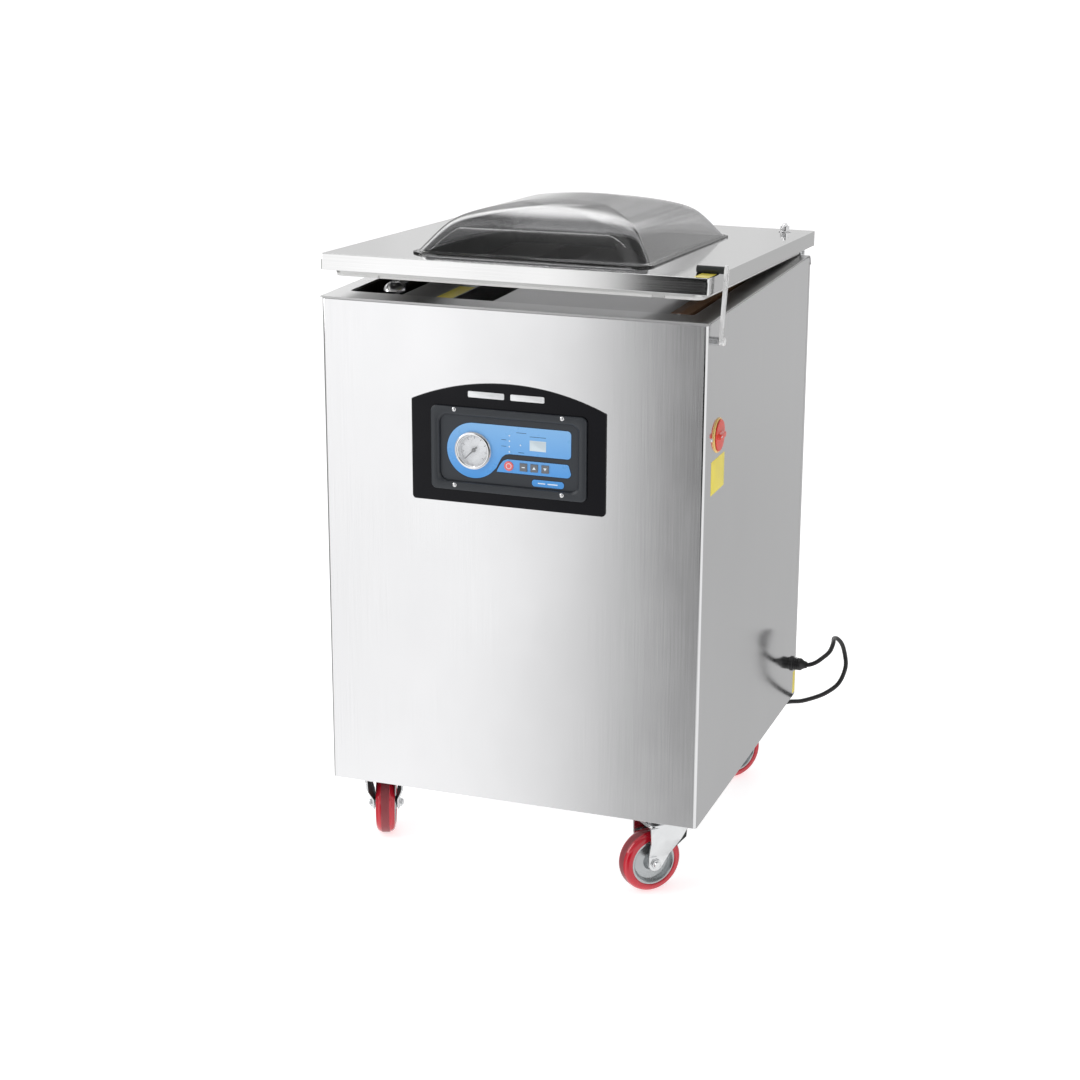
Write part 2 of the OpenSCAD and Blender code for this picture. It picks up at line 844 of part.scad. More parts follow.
// One ring of the dome: a rectangle with round corners, inset from the flange by d, at z
function dome_ring(a, b, r, z) = [
    for (q = [0:3], k = [0:dome_side])
        let (t = 90 * (q + k / dome_side), sx = (q == 0 || q == 3) ? 1 : -1,
             sy = q < 2 ? 1 : -1)
        [dome_cx + sx * (a - r) + r * cos(t), dome_cy + sy * (b - r) + r * sin(t), z]
];

// The dome's inset at step k, and its height there: a steep side that turns over a soft
// ridge into a gently crowned top
function dome_inset(k, span) = span * (1 - cos(90 * k / dome_rings)) * 0.97;
function dome_crown(d, span, h) =
    h * (dome_ridge + (1 - dome_ridge) * (1 - pow(1 - d / span, 2)));
function dome_rise(d, span, h) = d == 0 ? 0
    : pow(pow(dome_slope * d, -dome_blend) + pow(dome_crown(d, span, h), -dome_blend),
          -1 / dome_blend);

function dome_rings_of(a, b, r, z0, h) = [
    for (k = [0:dome_rings]) let (d = dome_inset(k, a))
        each dome_ring(a - d, b - d, min(r + 0.25 * d, 0.9 * (a - d)), z0 + dome_rise(d, a, h))
];

module dome_solid(a, b, r, z0, h) {
    n = 4 * (dome_side + 1);
    points = dome_rings_of(a, b, r, z0, h);
    sides = [
        for (i = [0:dome_rings - 1], k = [0:n - 1])
            let (p = i * n, q = p + n, m = (k + 1) % n)
            each [[p + k, q + m, p + m], [p + k, q + k, q + m]]
    ];
    first = [for (k = [0:n - 1]) k];
    last = [for (k = [n - 1:-1:0]) dome_rings * n + k];
    polyhedron(points, concat(sides, [first, last]));
}

module dome() {
    a = dome_w / 2 - dome_flange;
    b = dome_d / 2 - dome_flange;
    r = dome_r - dome_flange;
    color("gray", 0.5) on_lid() difference() {
        union() {
            dome_solid(a, b, r, lid_top, dome_h);
            translate([dome_cx, dome_cy, 0]) slab(dome_w, dome_d, dome_r, lid_top, 3);
        }
        dome_solid(a - dome_t, b - dome_t, r - dome_t, lid_top - eps, dome_h - dome_t);
    }
}

module hinge_leaves() {
    color("silver") on_lid() for (s = [-1, 1]) translate([s * hinge_x, 0, 0]) difference() {
        union() {
            rod_x(-knuckle_w / 2, knuckle_w, hinge_y, hinge_z, knuckle_r);
            translate([-knuckle_w / 2, hinge_y - 13, lid_z0 - 4]) cube([knuckle_w, 21, 4]);
            translate([-knuckle_w / 2, hinge_y - 5, hinge_z]) cube([knuckle_w, 10, lid_z0 - hinge_z]);
        }
        rod_x(-knuckle_w, 2 * knuckle_w, hinge_y, hinge_z, pin_r + run_gap);
    }
}

module leaf_bolts() {
    color("white") on_lid() for (s = [-1, 1]) translate([s * hinge_x, 300, lid_top]) {
        cylinder(r = 11, h = 1.6);
        translate([0, 0, 1.6]) cylinder(r = 8, h = 8, $fn = 6);
        cylinder(r = 4, h = 14);
        for (e = [-1, 1]) translate([0, e * 13, 5]) rotate([0, 90, 0])
            translate([0, 0, -1.6]) cylinder(r = 5, h = 3.2);
        translate([-1.6, -14, 3]) cube([3.2, 28, 4]);
    }
}

// ---- Stay ----

module stay_barrel() {
    color("black") difference() {
        rod_x(barrel_x0, barrel_x1 - barrel_x0, stay_y, stay_z, barrel_r);
        rod_x(barrel_x1 - arm_pin_len, arm_pin_len + 1, stay_y, stay_z, arm_pin_r + run_gap);
    }
}

// A flat arm with a pivot pin at its upper end, which tapers to a captive thumb screw
module stay_arm() {
    pin_x = barrel_x1 - arm_pin_len + 1;
    color("white") {
        yz_plate(arm_x, arm_t) hull() {
            translate([stay_y, stay_z]) circle(8, $fn = hull_fn);
            translate([stud_y, stud_z]) circle(5.5, $fn = hull_fn);
        }
        rod_x(pin_x, arm_x + arm_t + 1 - pin_x, stay_y, stay_z, arm_pin_r);
        rod_x(arm_x - 0.2, thumb_x - arm_x + 0.2, stud_y, stud_z, thumb_r);
        rod_x(arm_x + arm_t, thumb_x - arm_x - arm_t, stud_y, stud_z, 6);
    }
}

// ---- Sealing bars ----

module seal_bar(i) {
    color("darkgray") {
        translate([bar_side(i) * bar_x - bar_w / 2, bar_y0[i], bar_top - bar_h])
            cube([bar_w, bar_y1 - bar_y0[i], bar_h]);
        for (y = bar_posts(i)) translate([bar_side(i) * bar_x, y, tub_floor + lift_h - post_in])
            cylinder(r = post_r, h = bar_top - bar_h - tub_floor - lift_h + post_in);
    }
}

place() base_pan();
place() cabinet_shell();
place() rear_panel();
place() deck_plate();
place() chamber_tub();
place() filler_plates();
place() port_cap();
place() lift_cylinders();
place() hinge_brackets();
place() latch_stud();
place() caster_plates();
place() caster_bolts();
place() control_bezel();
place() control_frame();
place() key_overlay();
place() display_window();
place() gauge_case();
place() gauge_lens();
place() frame_screws();
place() control_board();
place() switch_plate();
place() switch_body();
place() vacuum_pump();
place() pump_motor();
place() exhaust_filter();
place() vacuum_hose();
place() transformer();
place() cord_gland();
place() power_cord();
place() cord_coil();
place() plug();
place() lid_frame();
place() lid_under_plate();
place() lid_gasket();
place() dome();
place() seal_pads();
place() hinge_leaves();
place() leaf_bolts();
place() stay_barrel();
place() stay_arm();
place() switch_knob();
place() gauge_needle();
place() start_key();
place() left_key();
place() middle_key();
place() right_key();
place() seal_bar(0);  // left_seal_bar
place() seal_bar(1);  // right_seal_bar
place() fork(CASTERS[0]);  // fork_front_right
place() fork(CASTERS[1]);  // fork_front_left
place() fork(CASTERS[2]);  // fork_rear_right
place() fork(CASTERS[3]);  // fork_rear_left
place() hub(CASTERS[0]);  // hub_front_right
place() hub(CASTERS[1]);  // hub_front_left
place() hub(CASTERS[2]);  // hub_rear_right
place() hub(CASTERS[3]);  // hub_rear_left
place() tread(CASTERS[0]);  // tread_front_right
place() tread(CASTERS[1]);  // tread_front_left
place() tread(CASTERS[2]);  // tread_rear_right
place() tread(CASTERS[3]);  // tread_rear_left
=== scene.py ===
"""A floor-standing chamber vacuum sealer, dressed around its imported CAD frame."""

import json
import math

import bmesh
import bpy
from mathutils import Matrix, Vector


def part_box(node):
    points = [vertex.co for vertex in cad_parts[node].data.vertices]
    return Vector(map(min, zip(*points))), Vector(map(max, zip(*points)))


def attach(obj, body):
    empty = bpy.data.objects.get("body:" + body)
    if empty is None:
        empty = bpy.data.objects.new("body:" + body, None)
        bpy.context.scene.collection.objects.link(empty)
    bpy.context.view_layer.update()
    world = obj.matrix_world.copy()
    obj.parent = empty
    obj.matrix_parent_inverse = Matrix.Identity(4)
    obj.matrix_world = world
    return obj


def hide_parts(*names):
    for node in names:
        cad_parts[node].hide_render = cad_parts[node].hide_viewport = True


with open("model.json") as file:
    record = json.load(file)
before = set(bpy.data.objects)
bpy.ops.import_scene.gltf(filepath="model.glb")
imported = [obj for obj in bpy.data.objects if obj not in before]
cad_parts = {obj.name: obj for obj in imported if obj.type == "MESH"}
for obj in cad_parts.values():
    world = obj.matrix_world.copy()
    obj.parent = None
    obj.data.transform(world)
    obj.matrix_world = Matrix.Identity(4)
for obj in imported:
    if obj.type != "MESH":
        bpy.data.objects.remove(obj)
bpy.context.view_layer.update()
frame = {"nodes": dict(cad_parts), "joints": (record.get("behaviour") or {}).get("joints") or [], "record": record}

MM = 0.001
NODES = frame["nodes"]
CABINET_LOW, CABINET_HIGH = (Vector(corner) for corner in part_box("cabinet_shell"))
CABINET_MID = (CABINET_LOW + CABINET_HIGH) / 2
HALF_W = (CABINET_HIGH.x - CABINET_LOW.x) / 2 / MM
FRONT_Y = (CABINET_LOW.y - CABINET_MID.y) / MM


def at(x, y, z):
    """A point given in mm from the middle of the cabinet at floor level, in the row frame."""
    return Vector((CABINET_MID.x + x * MM, CABINET_MID.y + y * MM, z * MM))


AJAR = math.radians(2.64)
HINGE_Y, HINGE_Z = 331, 916


def on_lid(x, y, z):
    """A point given in mm on the closed, level lid, turned to where the lid rests."""
    dy, dz = y - HINGE_Y, z - HINGE_Z
    return at(x, HINGE_Y + dy * math.cos(AJAR) + dz * math.sin(AJAR),
              HINGE_Z - dy * math.sin(AJAR) + dz * math.cos(AJAR))


def on_front(x, z, out):
    """A point on the cabinet's front, standing out from its face."""
    return at(x, FRONT_Y - out, z)


def on_side(y, z, out):
    """A point on the cabinet's right side, standing out from its face."""
    return at(HALF_W + out, y, z)


def on_rear(x, z, out):
    """A point on the cabinet's rear, standing out from its face."""
    return at(x, -FRONT_Y + out, z)


def joint(name):
    """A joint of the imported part, by its name."""
    return next(j for j in frame["joints"] if j["name"] == name)


# ---- Camera ----

LENS = 76.19
AZIMUTH, ELEVATION, ROLL = (math.radians(a) for a in (19.86, 16.87, 0.146))
CAMERA_FROM_CORNER = Vector((1.4796, -3.115, 1.4413))


def make_camera():
    """The camera stands in front of the cabinet, to its right and above it."""
    data = bpy.data.cameras.new("camera")
    data.lens = LENS
    data.sensor_width = 36
    data.clip_end = 100
    camera = bpy.data.objects.new("camera", data)
    bpy.context.collection.objects.link(camera)
    back = Vector((
        math.sin(AZIMUTH) * math.cos(ELEVATION),
        -math.cos(AZIMUTH) * math.cos(ELEVATION),
        math.sin(ELEVATION),
    ))
    turn = back.to_track_quat("Z", "Y").to_matrix() @ Matrix.Rotation(ROLL, 3, "Z")
    camera.matrix_world = Matrix.Translation(CABINET_LOW + CAMERA_FROM_CORNER) @ turn.to_4x4()
    bpy.context.scene.camera = camera


make_camera()


# ---- Materials ----

class Surface:
    """A material's node tree, with short calls for the nodes that its surface needs."""

    def __init__(self, name, **sockets):
        self.material = bpy.data.materials.new(name)
        self.material.use_nodes = True
        self.tree = self.material.node_tree
        self.tree.nodes.clear()
        self.shader = self.tree.nodes.new("ShaderNodeBsdfPrincipled")
        output = self.tree.nodes.new("ShaderNodeOutputMaterial")
        self.tree.links.new(self.shader.outputs["BSDF"], output.inputs["Surface"])
        for socket, value in sockets.items():
            self.shader.inputs[socket.replace("_", " ")].default_value = value

    def link(self, out, into):
        self.tree.links.new(out, into)

    def place(self, scale):
        """The point in the row frame, in metres, times scale."""
        where = self.tree.nodes.new("ShaderNodeTexCoord")
        mapping = self.tree.nodes.new("ShaderNodeMapping")
        mapping.inputs["Scale"].default_value = scale
        self.link(where.outputs["Object"], mapping.inputs["Vector"])
        return mapping.outputs["Vector"]

    def noise(self, scale, detail=3.0, rough=0.55):
        """Noise from 0 to 1 with scale periods in a metre along each axis."""
        node = self.tree.nodes.new("ShaderNodeTexNoise")
        node.inputs["Scale"].default_value = 1.0
        node.inputs["Detail"].default_value = detail
        node.inputs["Roughness"].default_value = rough
        self.link(self.place(scale), node.inputs["Vector"])
        return node.outputs["Fac"]

    def ramp(self, value, low, high, start=0.3, end=0.7):
        """Maps value from start..end to low..high, both numbers."""
        node = self.tree.nodes.new("ShaderNodeMapRange")
        for socket, number in (("From Min", start), ("From Max", end),
                               ("To Min", low), ("To Max", high)):
            node.inputs[socket].default_value = number
        self.link(value, node.inputs["Value"])
        return node.outputs["Result"]

    def tint(self, value, dark, light, start=0.3, end=0.7):
        """Maps value from start..end to a colour between dark and light."""
        node = self.tree.nodes.new("ShaderNodeValToRGB")
        stops = node.color_ramp.elements
        stops[0].position, stops[0].color = start, (*dark, 1)
        stops[1].position, stops[1].color = end, (*light, 1)
        self.link(value, node.inputs["Fac"])
        return node.outputs["Color"]

    def multiply(self, a, b):
        """The product of two values."""
        node = self.tree.nodes.new("ShaderNodeMath")
        node.operation = "MULTIPLY"
        self.link(a, node.inputs[0])
        self.link(b, node.inputs[1])
        return node.outputs["Value"]

    def bump(self, value, strength, distance):
        """Raises the surface by value, up to distance in metres."""
        node = self.tree.nodes.new("ShaderNodeBump")
        node.inputs["Strength"].default_value = strength
        node.inputs["Distance"].default_value = distance
        self.link(value, node.inputs["Height"])
        self.link(node.outputs["Normal"], self.shader.inputs["Normal"])

    def set(self, socket, value):
        """Feeds value to one of the shader's sockets."""
        self.link(value, self.shader.inputs[socket])


def brushed(name, shade, rough, grain, depth=0.25):
    """Stainless steel with fine brush lines. grain stretches them along one axis."""
    n = Surface(name, Metallic=1.0)
    lines = n.noise(grain, 2.0, 0.7)
    smudges = n.noise((7, 7, 5), 3.0)
    n.set("Base Color", n.tint(lines, [c * 0.93 for c in shade], shade, 0.25, 0.75))
    n.set("Roughness", n.ramp(n.multiply(lines, smudges), rough - 0.03, rough + 0.05, 0.1, 0.45))
    n.bump(lines, depth, 0.00004)
    return n.material


def polished(name, shade, rough, metallic=1.0):
    """Bright plated metal with faint handling marks."""
    n = Surface(name, Metallic=metallic)
    marks = n.noise((60, 60, 60), 4.0)
    n.set("Base Color", n.tint(marks, [c * 0.9 for c in shade], shade))
    n.set("Roughness", n.ramp(marks, rough, rough + 0.08))
    return n.material


def moulded(name, colour, rough, texture=900, depth=0.15, coat=0.0, shine=0.5):
    """Moulded plastic or rubber with a fine surface texture."""
    n = Surface(name, Coat_Weight=coat, Coat_Roughness=0.06, Specular_IOR_Level=shine)
    skin = n.noise((texture, texture, texture), 2.0)
    patches = n.noise((18, 18, 18), 3.0)
    n.set("Base Color", n.tint(patches, [c * 0.9 for c in colour], colour))
    n.set("Roughness", n.ramp(patches, rough - 0.04, rough + 0.05))
    n.bump(skin, depth, 0.00005)
    return n.material


def printed(name, low, high, z0, z1, rough=0.3):
    """Screen printing that shades from one colour at height z0 to another at z1, in mm."""
    n = Surface(name, Coat_Weight=0.25, Coat_Roughness=0.08)
    split = n.tree.nodes.new("ShaderNodeSeparateXYZ")
    n.link(n.place((1, 1, 1)), split.inputs["Vector"])
    height = n.ramp(split.outputs["Z"], 0.0, 1.0, z0 * MM, z1 * MM)
    n.set("Base Color", n.tint(height, low, high, 0.0, 1.0))
    n.set("Roughness", n.ramp(n.noise((40, 40, 40), 3.0), rough - 0.04, rough + 0.05))
    n.bump(n.noise((1500, 1500, 1500), 2.0), 0.1, 0.00003)
    return n.material


def clear(name, colour, rough):
    """Clear or smoked sheet with faint haze and scuffs."""
    n = Surface(name, Transmission_Weight=1.0, IOR=1.49)
    haze = n.noise((12, 12, 12), 4.0)
    n.set("Base Color", n.tint(haze, [c * 0.96 for c in colour], colour))
    n.set("Roughness", n.ramp(haze, rough, rough + 0.03))
    return n.material


def glazed(name, colour, alpha):
    """A thin pane that lets most light through, with faint smears."""
    n = Surface(name, Alpha=alpha)
    smears = n.noise((60, 60, 60), 3.0)
    n.set("Base Color", n.tint(smears, [c * 0.9 for c in colour], colour))
    n.set("Roughness", n.ramp(smears, 0.02, 0.08))
    return n.material


GRAIN_UP = (1500, 1500, 6)
GRAIN_ALONG = (6, 1500, 1500)
GRAIN_DEEP = (1500, 6, 1500)

MATERIALS = {
    "steel_brushed": brushed("brushed_steel", (0.86, 0.86, 0.87), 0.12, GRAIN_UP, 0.12),
    "steel_deck": brushed("deck_steel", (0.60, 0.60, 0.60), 0.30, GRAIN_ALONG),
    "lid_steel": brushed("lid_steel", (0.84, 0.84, 0.84), 0.07, GRAIN_ALONG, 0.05),
    "dark_tub": brushed("tub_steel", (0.30, 0.30, 0.30), 0.30, GRAIN_UP),
    "chrome": polished("bright_chrome", (0.90, 0.90, 0.91), 0.05),
    "zinc": polished("zinc_plate", (0.86, 0.87, 0.88), 0.20),
    "arm_steel": polished("arm_steel", (0.92, 0.92, 0.92), 0.25, 0.35),
    "dark_pad": moulded("black_rubber", (0.010, 0.013, 0.013), 0.45),
    "black_gloss": moulded("gloss_black", (0.003, 0.003, 0.005), 0.2, 500, 0.04, 0.0, 0.2),
    "frame_grey": moulded("frame_grey", (0.026, 0.030, 0.036), 0.40, 1400, 0.3),
    "overlay_grey": moulded("overlay_grey", (0.028, 0.033, 0.041), 0.38),
    "display": moulded("display_tint", (0.66, 0.76, 0.82), 0.15, 500, 0.02, 0.6),
    "gauge_white": moulded("dial_enamel", (0.82, 0.83, 0.85), 0.25, 500, 0.05),
    "clear_glass": glazed("gauge_glass", (0.9, 0.92, 0.95), 0.14),
    "needle_black": moulded("needle_black", (0.01, 0.01, 0.01), 0.35),
    "key_red": moulded("key_red", (0.80, 0.16, 0.16), 0.3, 700, 0.05, 0.3),
    "key_grey": moulded("key_grey", (0.16, 0.17, 0.19), 0.38),
    "board_green": moulded("board_green", (0.01, 0.13, 0.05), 0.35),
    "switch_yellow": moulded("switch_yellow", (0.93, 0.62, 0.22), 0.35),
    "switch_red": moulded("switch_red", (0.80, 0.045, 0.02), 0.32, 700, 0.1, 0.3),
    "pump_paint": moulded("pump_paint", (0.06, 0.16, 0.13), 0.45, 300, 0.4),
    "motor_paint": moulded("motor_paint", (0.03, 0.08, 0.2), 0.4, 300, 0.4),
    "filter_white": moulded("filter_white", (0.7, 0.7, 0.7), 0.4),
    "hose_black": moulded("hose_black", (0.02, 0.02, 0.02), 0.6),
    "copper_core": polished("copper_winding", (0.72, 0.34, 0.16), 0.35),
    "cord_black": moulded("cord_black", (0.006, 0.006, 0.007), 0.38, 2500, 0.2, 0.1),
    "under_plate": brushed("under_plate", (0.80, 0.80, 0.79), 0.35, GRAIN_ALONG),
    "gasket_white": moulded("gasket_white", (0.75, 0.75, 0.74), 0.45),
    "dome_smoke": clear("smoked_acrylic", (0.46, 0.46, 0.465), 0.02),
    "pad_white": moulded("pad_white", (0.78, 0.77, 0.74), 0.55),
    "bar_alu": brushed("bar_aluminium", (0.62, 0.60, 0.58), 0.35, GRAIN_DEEP),
    "bar_dark": brushed("bar_dark", (0.10, 0.10, 0.10), 0.4, GRAIN_DEEP),
    "plate_white": brushed("filler_grey", (0.50, 0.50, 0.50), 0.4, GRAIN_DEEP),
    "hub_grey": polished("hub_grey", (0.52, 0.54, 0.55), 0.2, 0.85),
    "tread_red": moulded("tread_red", (0.60, 0.012, 0.030), 0.16, 400, 0.04, 0.6),
    "tread_worn": moulded("tread_worn", (0.30, 0.050, 0.060), 0.42, 500, 0.5),
    "print_blue": printed("print_blue", (0.050, 0.29, 0.72), (0.21, 0.46, 0.80), 655, 740),
    "print_line": moulded("print_line", (0.006, 0.016, 0.04), 0.35),
    "label_yellow": moulded("label_yellow", (0.93, 0.78, 0.10), 0.4, 300, 0.05),
    "tape_brown": moulded("tape_brown", (0.20, 0.10, 0.045), 0.42, 500, 0.3),
    "tape_dark": moulded("tape_dark", (0.03, 0.025, 0.02), 0.42, 500, 0.3),
    "led_white": moulded("led_white", (0.80, 0.88, 0.95), 0.2, 400, 0.02, 0.5),
    "badge_silver": polished("badge_silver", (0.86, 0.87, 0.88), 0.38, 0.3),
}
SLOTS = {s["node"]: s["material_slot"] for s in frame["record"]["subparts"]}

# Width in mm of the broken edge on pressed, cut and moulded parts
EDGES = {
    "cabinet_shell": 0.8, "lid_frame": 0.9, "deck_plate": 0.3, "control_bezel": 0.8,
    "base_pan": 0.5, "lid_under_plate": 0.8, "caster_plates": 0.6, "caster_bolts": 0.6,
    "hinge_brackets": 0.6, "hinge_leaves": 0.6, "leaf_bolts": 0.5, "stay_arm": 0.6,
    "latch_stud": 0.4, "filler_plates": 0.4, "left_seal_bar": 0.6, "right_seal_bar": 0.6,
    "start_key": 0.6, "left_key": 0.6, "middle_key": 0.6, "right_key": 0.6,
    "frame_screws": 0.3, "rear_panel": 0.2, "pump_motor": 1.2, "vacuum_pump": 2.0,
    "fork_front_right": 0.7, "fork_front_left": 0.7, "fork_rear_right": 0.7,
    "fork_rear_left": 0.7,
}


def dress_nodes():
    """Every CAD node takes the material of its record slot, and sharp edges are broken."""
    for name, o in NODES.items():
        o.data.materials.clear()
        o.data.materials.append(MATERIALS[SLOTS[name]])
    for name, width in EDGES.items():
        weld = NODES[name].modifiers.new("weld", "WELD")
        weld.merge_threshold = 0.00001
        if name == "cabinet_shell":
            flat = NODES[name].modifiers.new("flat", "DECIMATE")
            flat.decimate_type = "DISSOLVE"
            flat.angle_limit = math.radians(1)
        edge = NODES[name].modifiers.new("edge", "BEVEL")
        edge.width = width * MM
        edge.segments = 2
        edge.limit_method = "ANGLE"
        edge.angle_limit = math.radians(40)
        edge.use_clamp_overlap = False
        edge.harden_normals = True


dress_nodes()


# ---- Mesh building ----

def new_object(name, data):
    """An object that holds data, linked into the scene."""
    o = bpy.data.objects.new(name, data)
    bpy.context.collection.objects.link(o)
    return o


def finish_piece(o, material, body):
    """Gives a piece its material and its body."""
    o.data.materials.clear()
    o.data.materials.append(MATERIALS[material])
    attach(o, body)
    return o


def mesh_piece(name, shapes, material, body, smooth=35):
    """One piece from shapes, each a list of points and a list of faces."""
    points, faces = [], []
    for some_points, some_faces in shapes:
        faces += [[len(points) + i for i in face] for face in some_faces]
        points += [tuple(p) for p in some_points]
    mesh = bpy.data.meshes.new(name)
    mesh.from_pydata(points, [], faces)
    bm = bmesh.new()
    bm.from_mesh(mesh)
    bmesh.ops.remove_doubles(bm, verts=bm.verts, dist=0.000001)
    bmesh.ops.recalc_face_normals(bm, faces=bm.faces)
    bm.to_mesh(mesh)
    bm.free()
    mesh.shade_smooth()
    mesh.set_sharp_from_angle(angle=math.radians(smooth))
    return finish_piece(new_object(name, mesh), material, body)


def loft(loops, closed=False):
    """Skins equal loops one after another. A closed loft joins its last loop to its first."""
    n, count = len(loops[0]), len(loops)
    faces = []
    for i in range(count if closed else count - 1):
        a, b = i * n, (i + 1) % count * n
        faces += [[a + k, a + (k + 1) % n, b + (k + 1) % n, b + k] for k in range(n)]
    if not closed:
        faces += [list(range(n))[::-1], [(count - 1) * n + k for k in range(n)]]
    return [p for loop in loops for p in loop], faces


def rounded(w, h, r, steps=6):
    """The outline of a rectangle with round corners, about its middle."""
    outline = []
    for q, (sx, sy) in enumerate(((1, 1), (-1, 1), (-1, -1), (1, -1))):
        for k in range(steps + 1):
            a = math.radians(90 * (q + k / steps))
            outline.append((sx * (w / 2 - r) + r * math.cos(a), sy * (h / 2 - r) + r * math.sin(a)))
    return outline


def shifted(outline, x, y):
    """An outline moved by x and y."""
    return [(x + p[0], y + p[1]) for p in outline]


def grown(outline, by):
    """An anticlockwise outline moved outwards, or inwards where by is negative."""
    out = []
    for i, (x, y) in enumerate(outline):
        before, after = Vector(outline[i - 1]), Vector(outline[(i + 1) % len(outline)])
        along = (after - before).normalized()
        out.append((x + along.y * by, y - along.x * by))
    return out


def plate(outline, place, low, high, edge=0.0):
    """A flat plate from an anticlockwise outline, with its outer edge broken by edge."""
    levels = [(outline, low), (outline, high - edge)]
    if edge:
        levels.append((grown(outline, -edge * 0.3), high - edge * 0.3))
        levels.append((grown(outline, -edge), high))
    return loft([[place(u, v, out) for u, v in line] for line, out in levels])


def lathe(profile, middle, axis, steps=48):
    """Turns a closed profile of (radius, distance along the axis), in mm, about the axis."""
    along = axis.normalized()
    side = along.orthogonal().normalized()
    up = along.cross(side)
    loops = []
    for k in range(steps):
        a = math.tau * k / steps
        out = side * math.cos(a) + up * math.sin(a)
        loops.append([middle + (out * r + along * h) * MM for r, h in profile])
    return loft(loops, closed=True)


def arc(x, y, r, start, end, steps=8):
    """Points on an arc, with its angles in degrees."""
    angles = [math.radians(start + (end - start) * k / steps) for k in range(steps + 1)]
    return [(x + r * math.cos(a), y + r * math.sin(a)) for a in angles]


X_AXIS, Y_AXIS, Z_AXIS = Vector((1, 0, 0)), Vector((0, 1, 0)), Vector((0, 0, 1))


def screw(middle, axis, r, height):
    """A round-head screw with a cross recess, standing on middle."""
    head = [(0.0, 0.0), (r, 0.0)]
    head += [(r * math.cos(math.radians(a)), height * math.sin(math.radians(a)))
             for a in (20, 40, 60)]
    head += [(r * 0.32, height * 0.92), (r * 0.28, height * 0.45), (0.0, height * 0.4)]
    return lathe(head, middle, axis, 20)


# ---- Mains lead ----

CORD_R = 3.9
# The same route as the CAD model's, in mm
ROUTE = [
    (312, 285, 197), (332, 285, 197), (346, 287, 202), (357, 293, 210), (367, 306, 219),
    (369, 325, 229), (365, 347, 230), (368, 366, 223), (374, 378, 209), (379, 382, 188),
    (381.9, 378, 170), (378, 371, 151), (370, 366, 136), (354, 367, 121), (335, 371, 108),
    (304, 377, 93), (277, 384, 85), (250, 389, 70), (228, 393, 51), (205, 398, 31),
    (182, 406, 15), (158, 417, 6), (132, 434, 4.4),
]
COIL_MID = (96, 400)
COIL_TURN_R = (50, 42, 42, 50)
COIL_TURN_Z = (4, 4, 12, 12)
COIL_START, COIL_END = 43.4, 90 + 360 * 4
PLUG_X, PLUG_Y, PLUG_Z = 50, 450, 12


def smooth_line(points, steps):
    """A smooth curve through the points, with steps between each pair."""
    line = []
    for i in range(len(points) - 1):
        a, b, c, d = (points[min(max(k, 0), len(points) - 1)] for k in range(i - 1, i + 3))
        for k in range(steps):
            t = k / steps
            line.append(0.5 * (2 * b + (c - a) * t + (2 * a - 5 * b + 4 * c - d) * t ** 2
                               + (3 * b - a - 3 * c + d) * t ** 3))
    line.append(points[-1])
    return line


def coil_line():
    """The coil's turns: out on the floor, in, up a layer, and out to the plug."""
    step, line = 10, []
    angle = COIL_START + step
    while angle < COIL_END:
        turn = (angle - COIL_START) / 360
        i = min(int(turn), 3)
        ease = min((turn - i) / 0.15, 1.0)
        ease = ease * ease * (3 - 2 * ease)
        before = max(i - 1, 0)
        r = COIL_TURN_R[before] + (COIL_TURN_R[i] - COIL_TURN_R[before]) * ease
        z = COIL_TURN_Z[before] + (COIL_TURN_Z[i] - COIL_TURN_Z[before]) * ease
        a = math.radians(angle)
        line.append(Vector((COIL_MID[0] + r * math.cos(a), COIL_MID[1] + r * math.sin(a),
                            max(z, 4.4))))
        angle += step
    return line


def tube_curve(name, points, radius):
    """A round tube along points given in mm from the cabinet's middle."""
    curve = bpy.data.curves.new(name, "CURVE")
    curve.dimensions = "3D"
    curve.bevel_depth = radius * MM
    curve.bevel_resolution = 4
    curve.use_fill_caps = True
    spline = curve.splines.new("POLY")
    spline.points.add(len(points) - 1)
    for point, p in zip(spline.points, points):
        point.co = (*at(*p), 1)
    return new_object(name, curve)


def make_plug():
    """A moulded plug with a ribbed grip and strain relief, and its three pins."""
    sections = ((50, 17, 17, 7), (46, 21, 21, 6), (40, 23.4, 23, 5), (37, 22, 21.6, 5),
                (34, 22, 21.6, 5), (31, 23.6, 23.2, 5), (22, 24, 24, 4), (17.5, 24, 24, 4),
                (16, 22, 22, 4))
    body = loft([[at(x, PLUG_Y + u, PLUG_Z + v) for u, v in rounded(w, h, r)]
                 for x, w, h, r in sections])
    relief = [(4.1, 0)]
    for k in range(6):
        r, start = 7.2 - 0.36 * k, 5.6 * k
        relief += [(r, start), (r - 0.1, start + 3.8), (r - 1.1, start + 4.2), (r - 1.1, start + 5.4)]
    relief += [(4.1, 33.8)]
    boot = lathe(relief, at(PLUG_X, PLUG_Y, PLUG_Z), X_AXIS, 32)
    shell = mesh_piece("plug_body", [body, boot], "cord_black", "cabinet")
    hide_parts("plug")
    pins = []
    for side in (-1, 1):
        blade = [(-0.8, 0), (0.8, 0), (0.8, -14.5), (0.45, -17.8), (-0.45, -17.8), (-0.8, -14.5)]
        pins.append(loft([[at(16.5 + v, PLUG_Y + side * 6.35 + u, z) for u, v in blade]
                          for z in (PLUG_Z - 1, PLUG_Z + 5.4)]))
    ground = [(0, 0.5), (2.4, 0.5), (2.4, -14.5), (1.6, -17), (0, -17.9)]
    pins.append(lathe(ground, at(16, PLUG_Y, PLUG_Z - 6.5), X_AXIS, 24))
    return [shell, mesh_piece("plug_pins", pins, "zinc", "cabinet")]


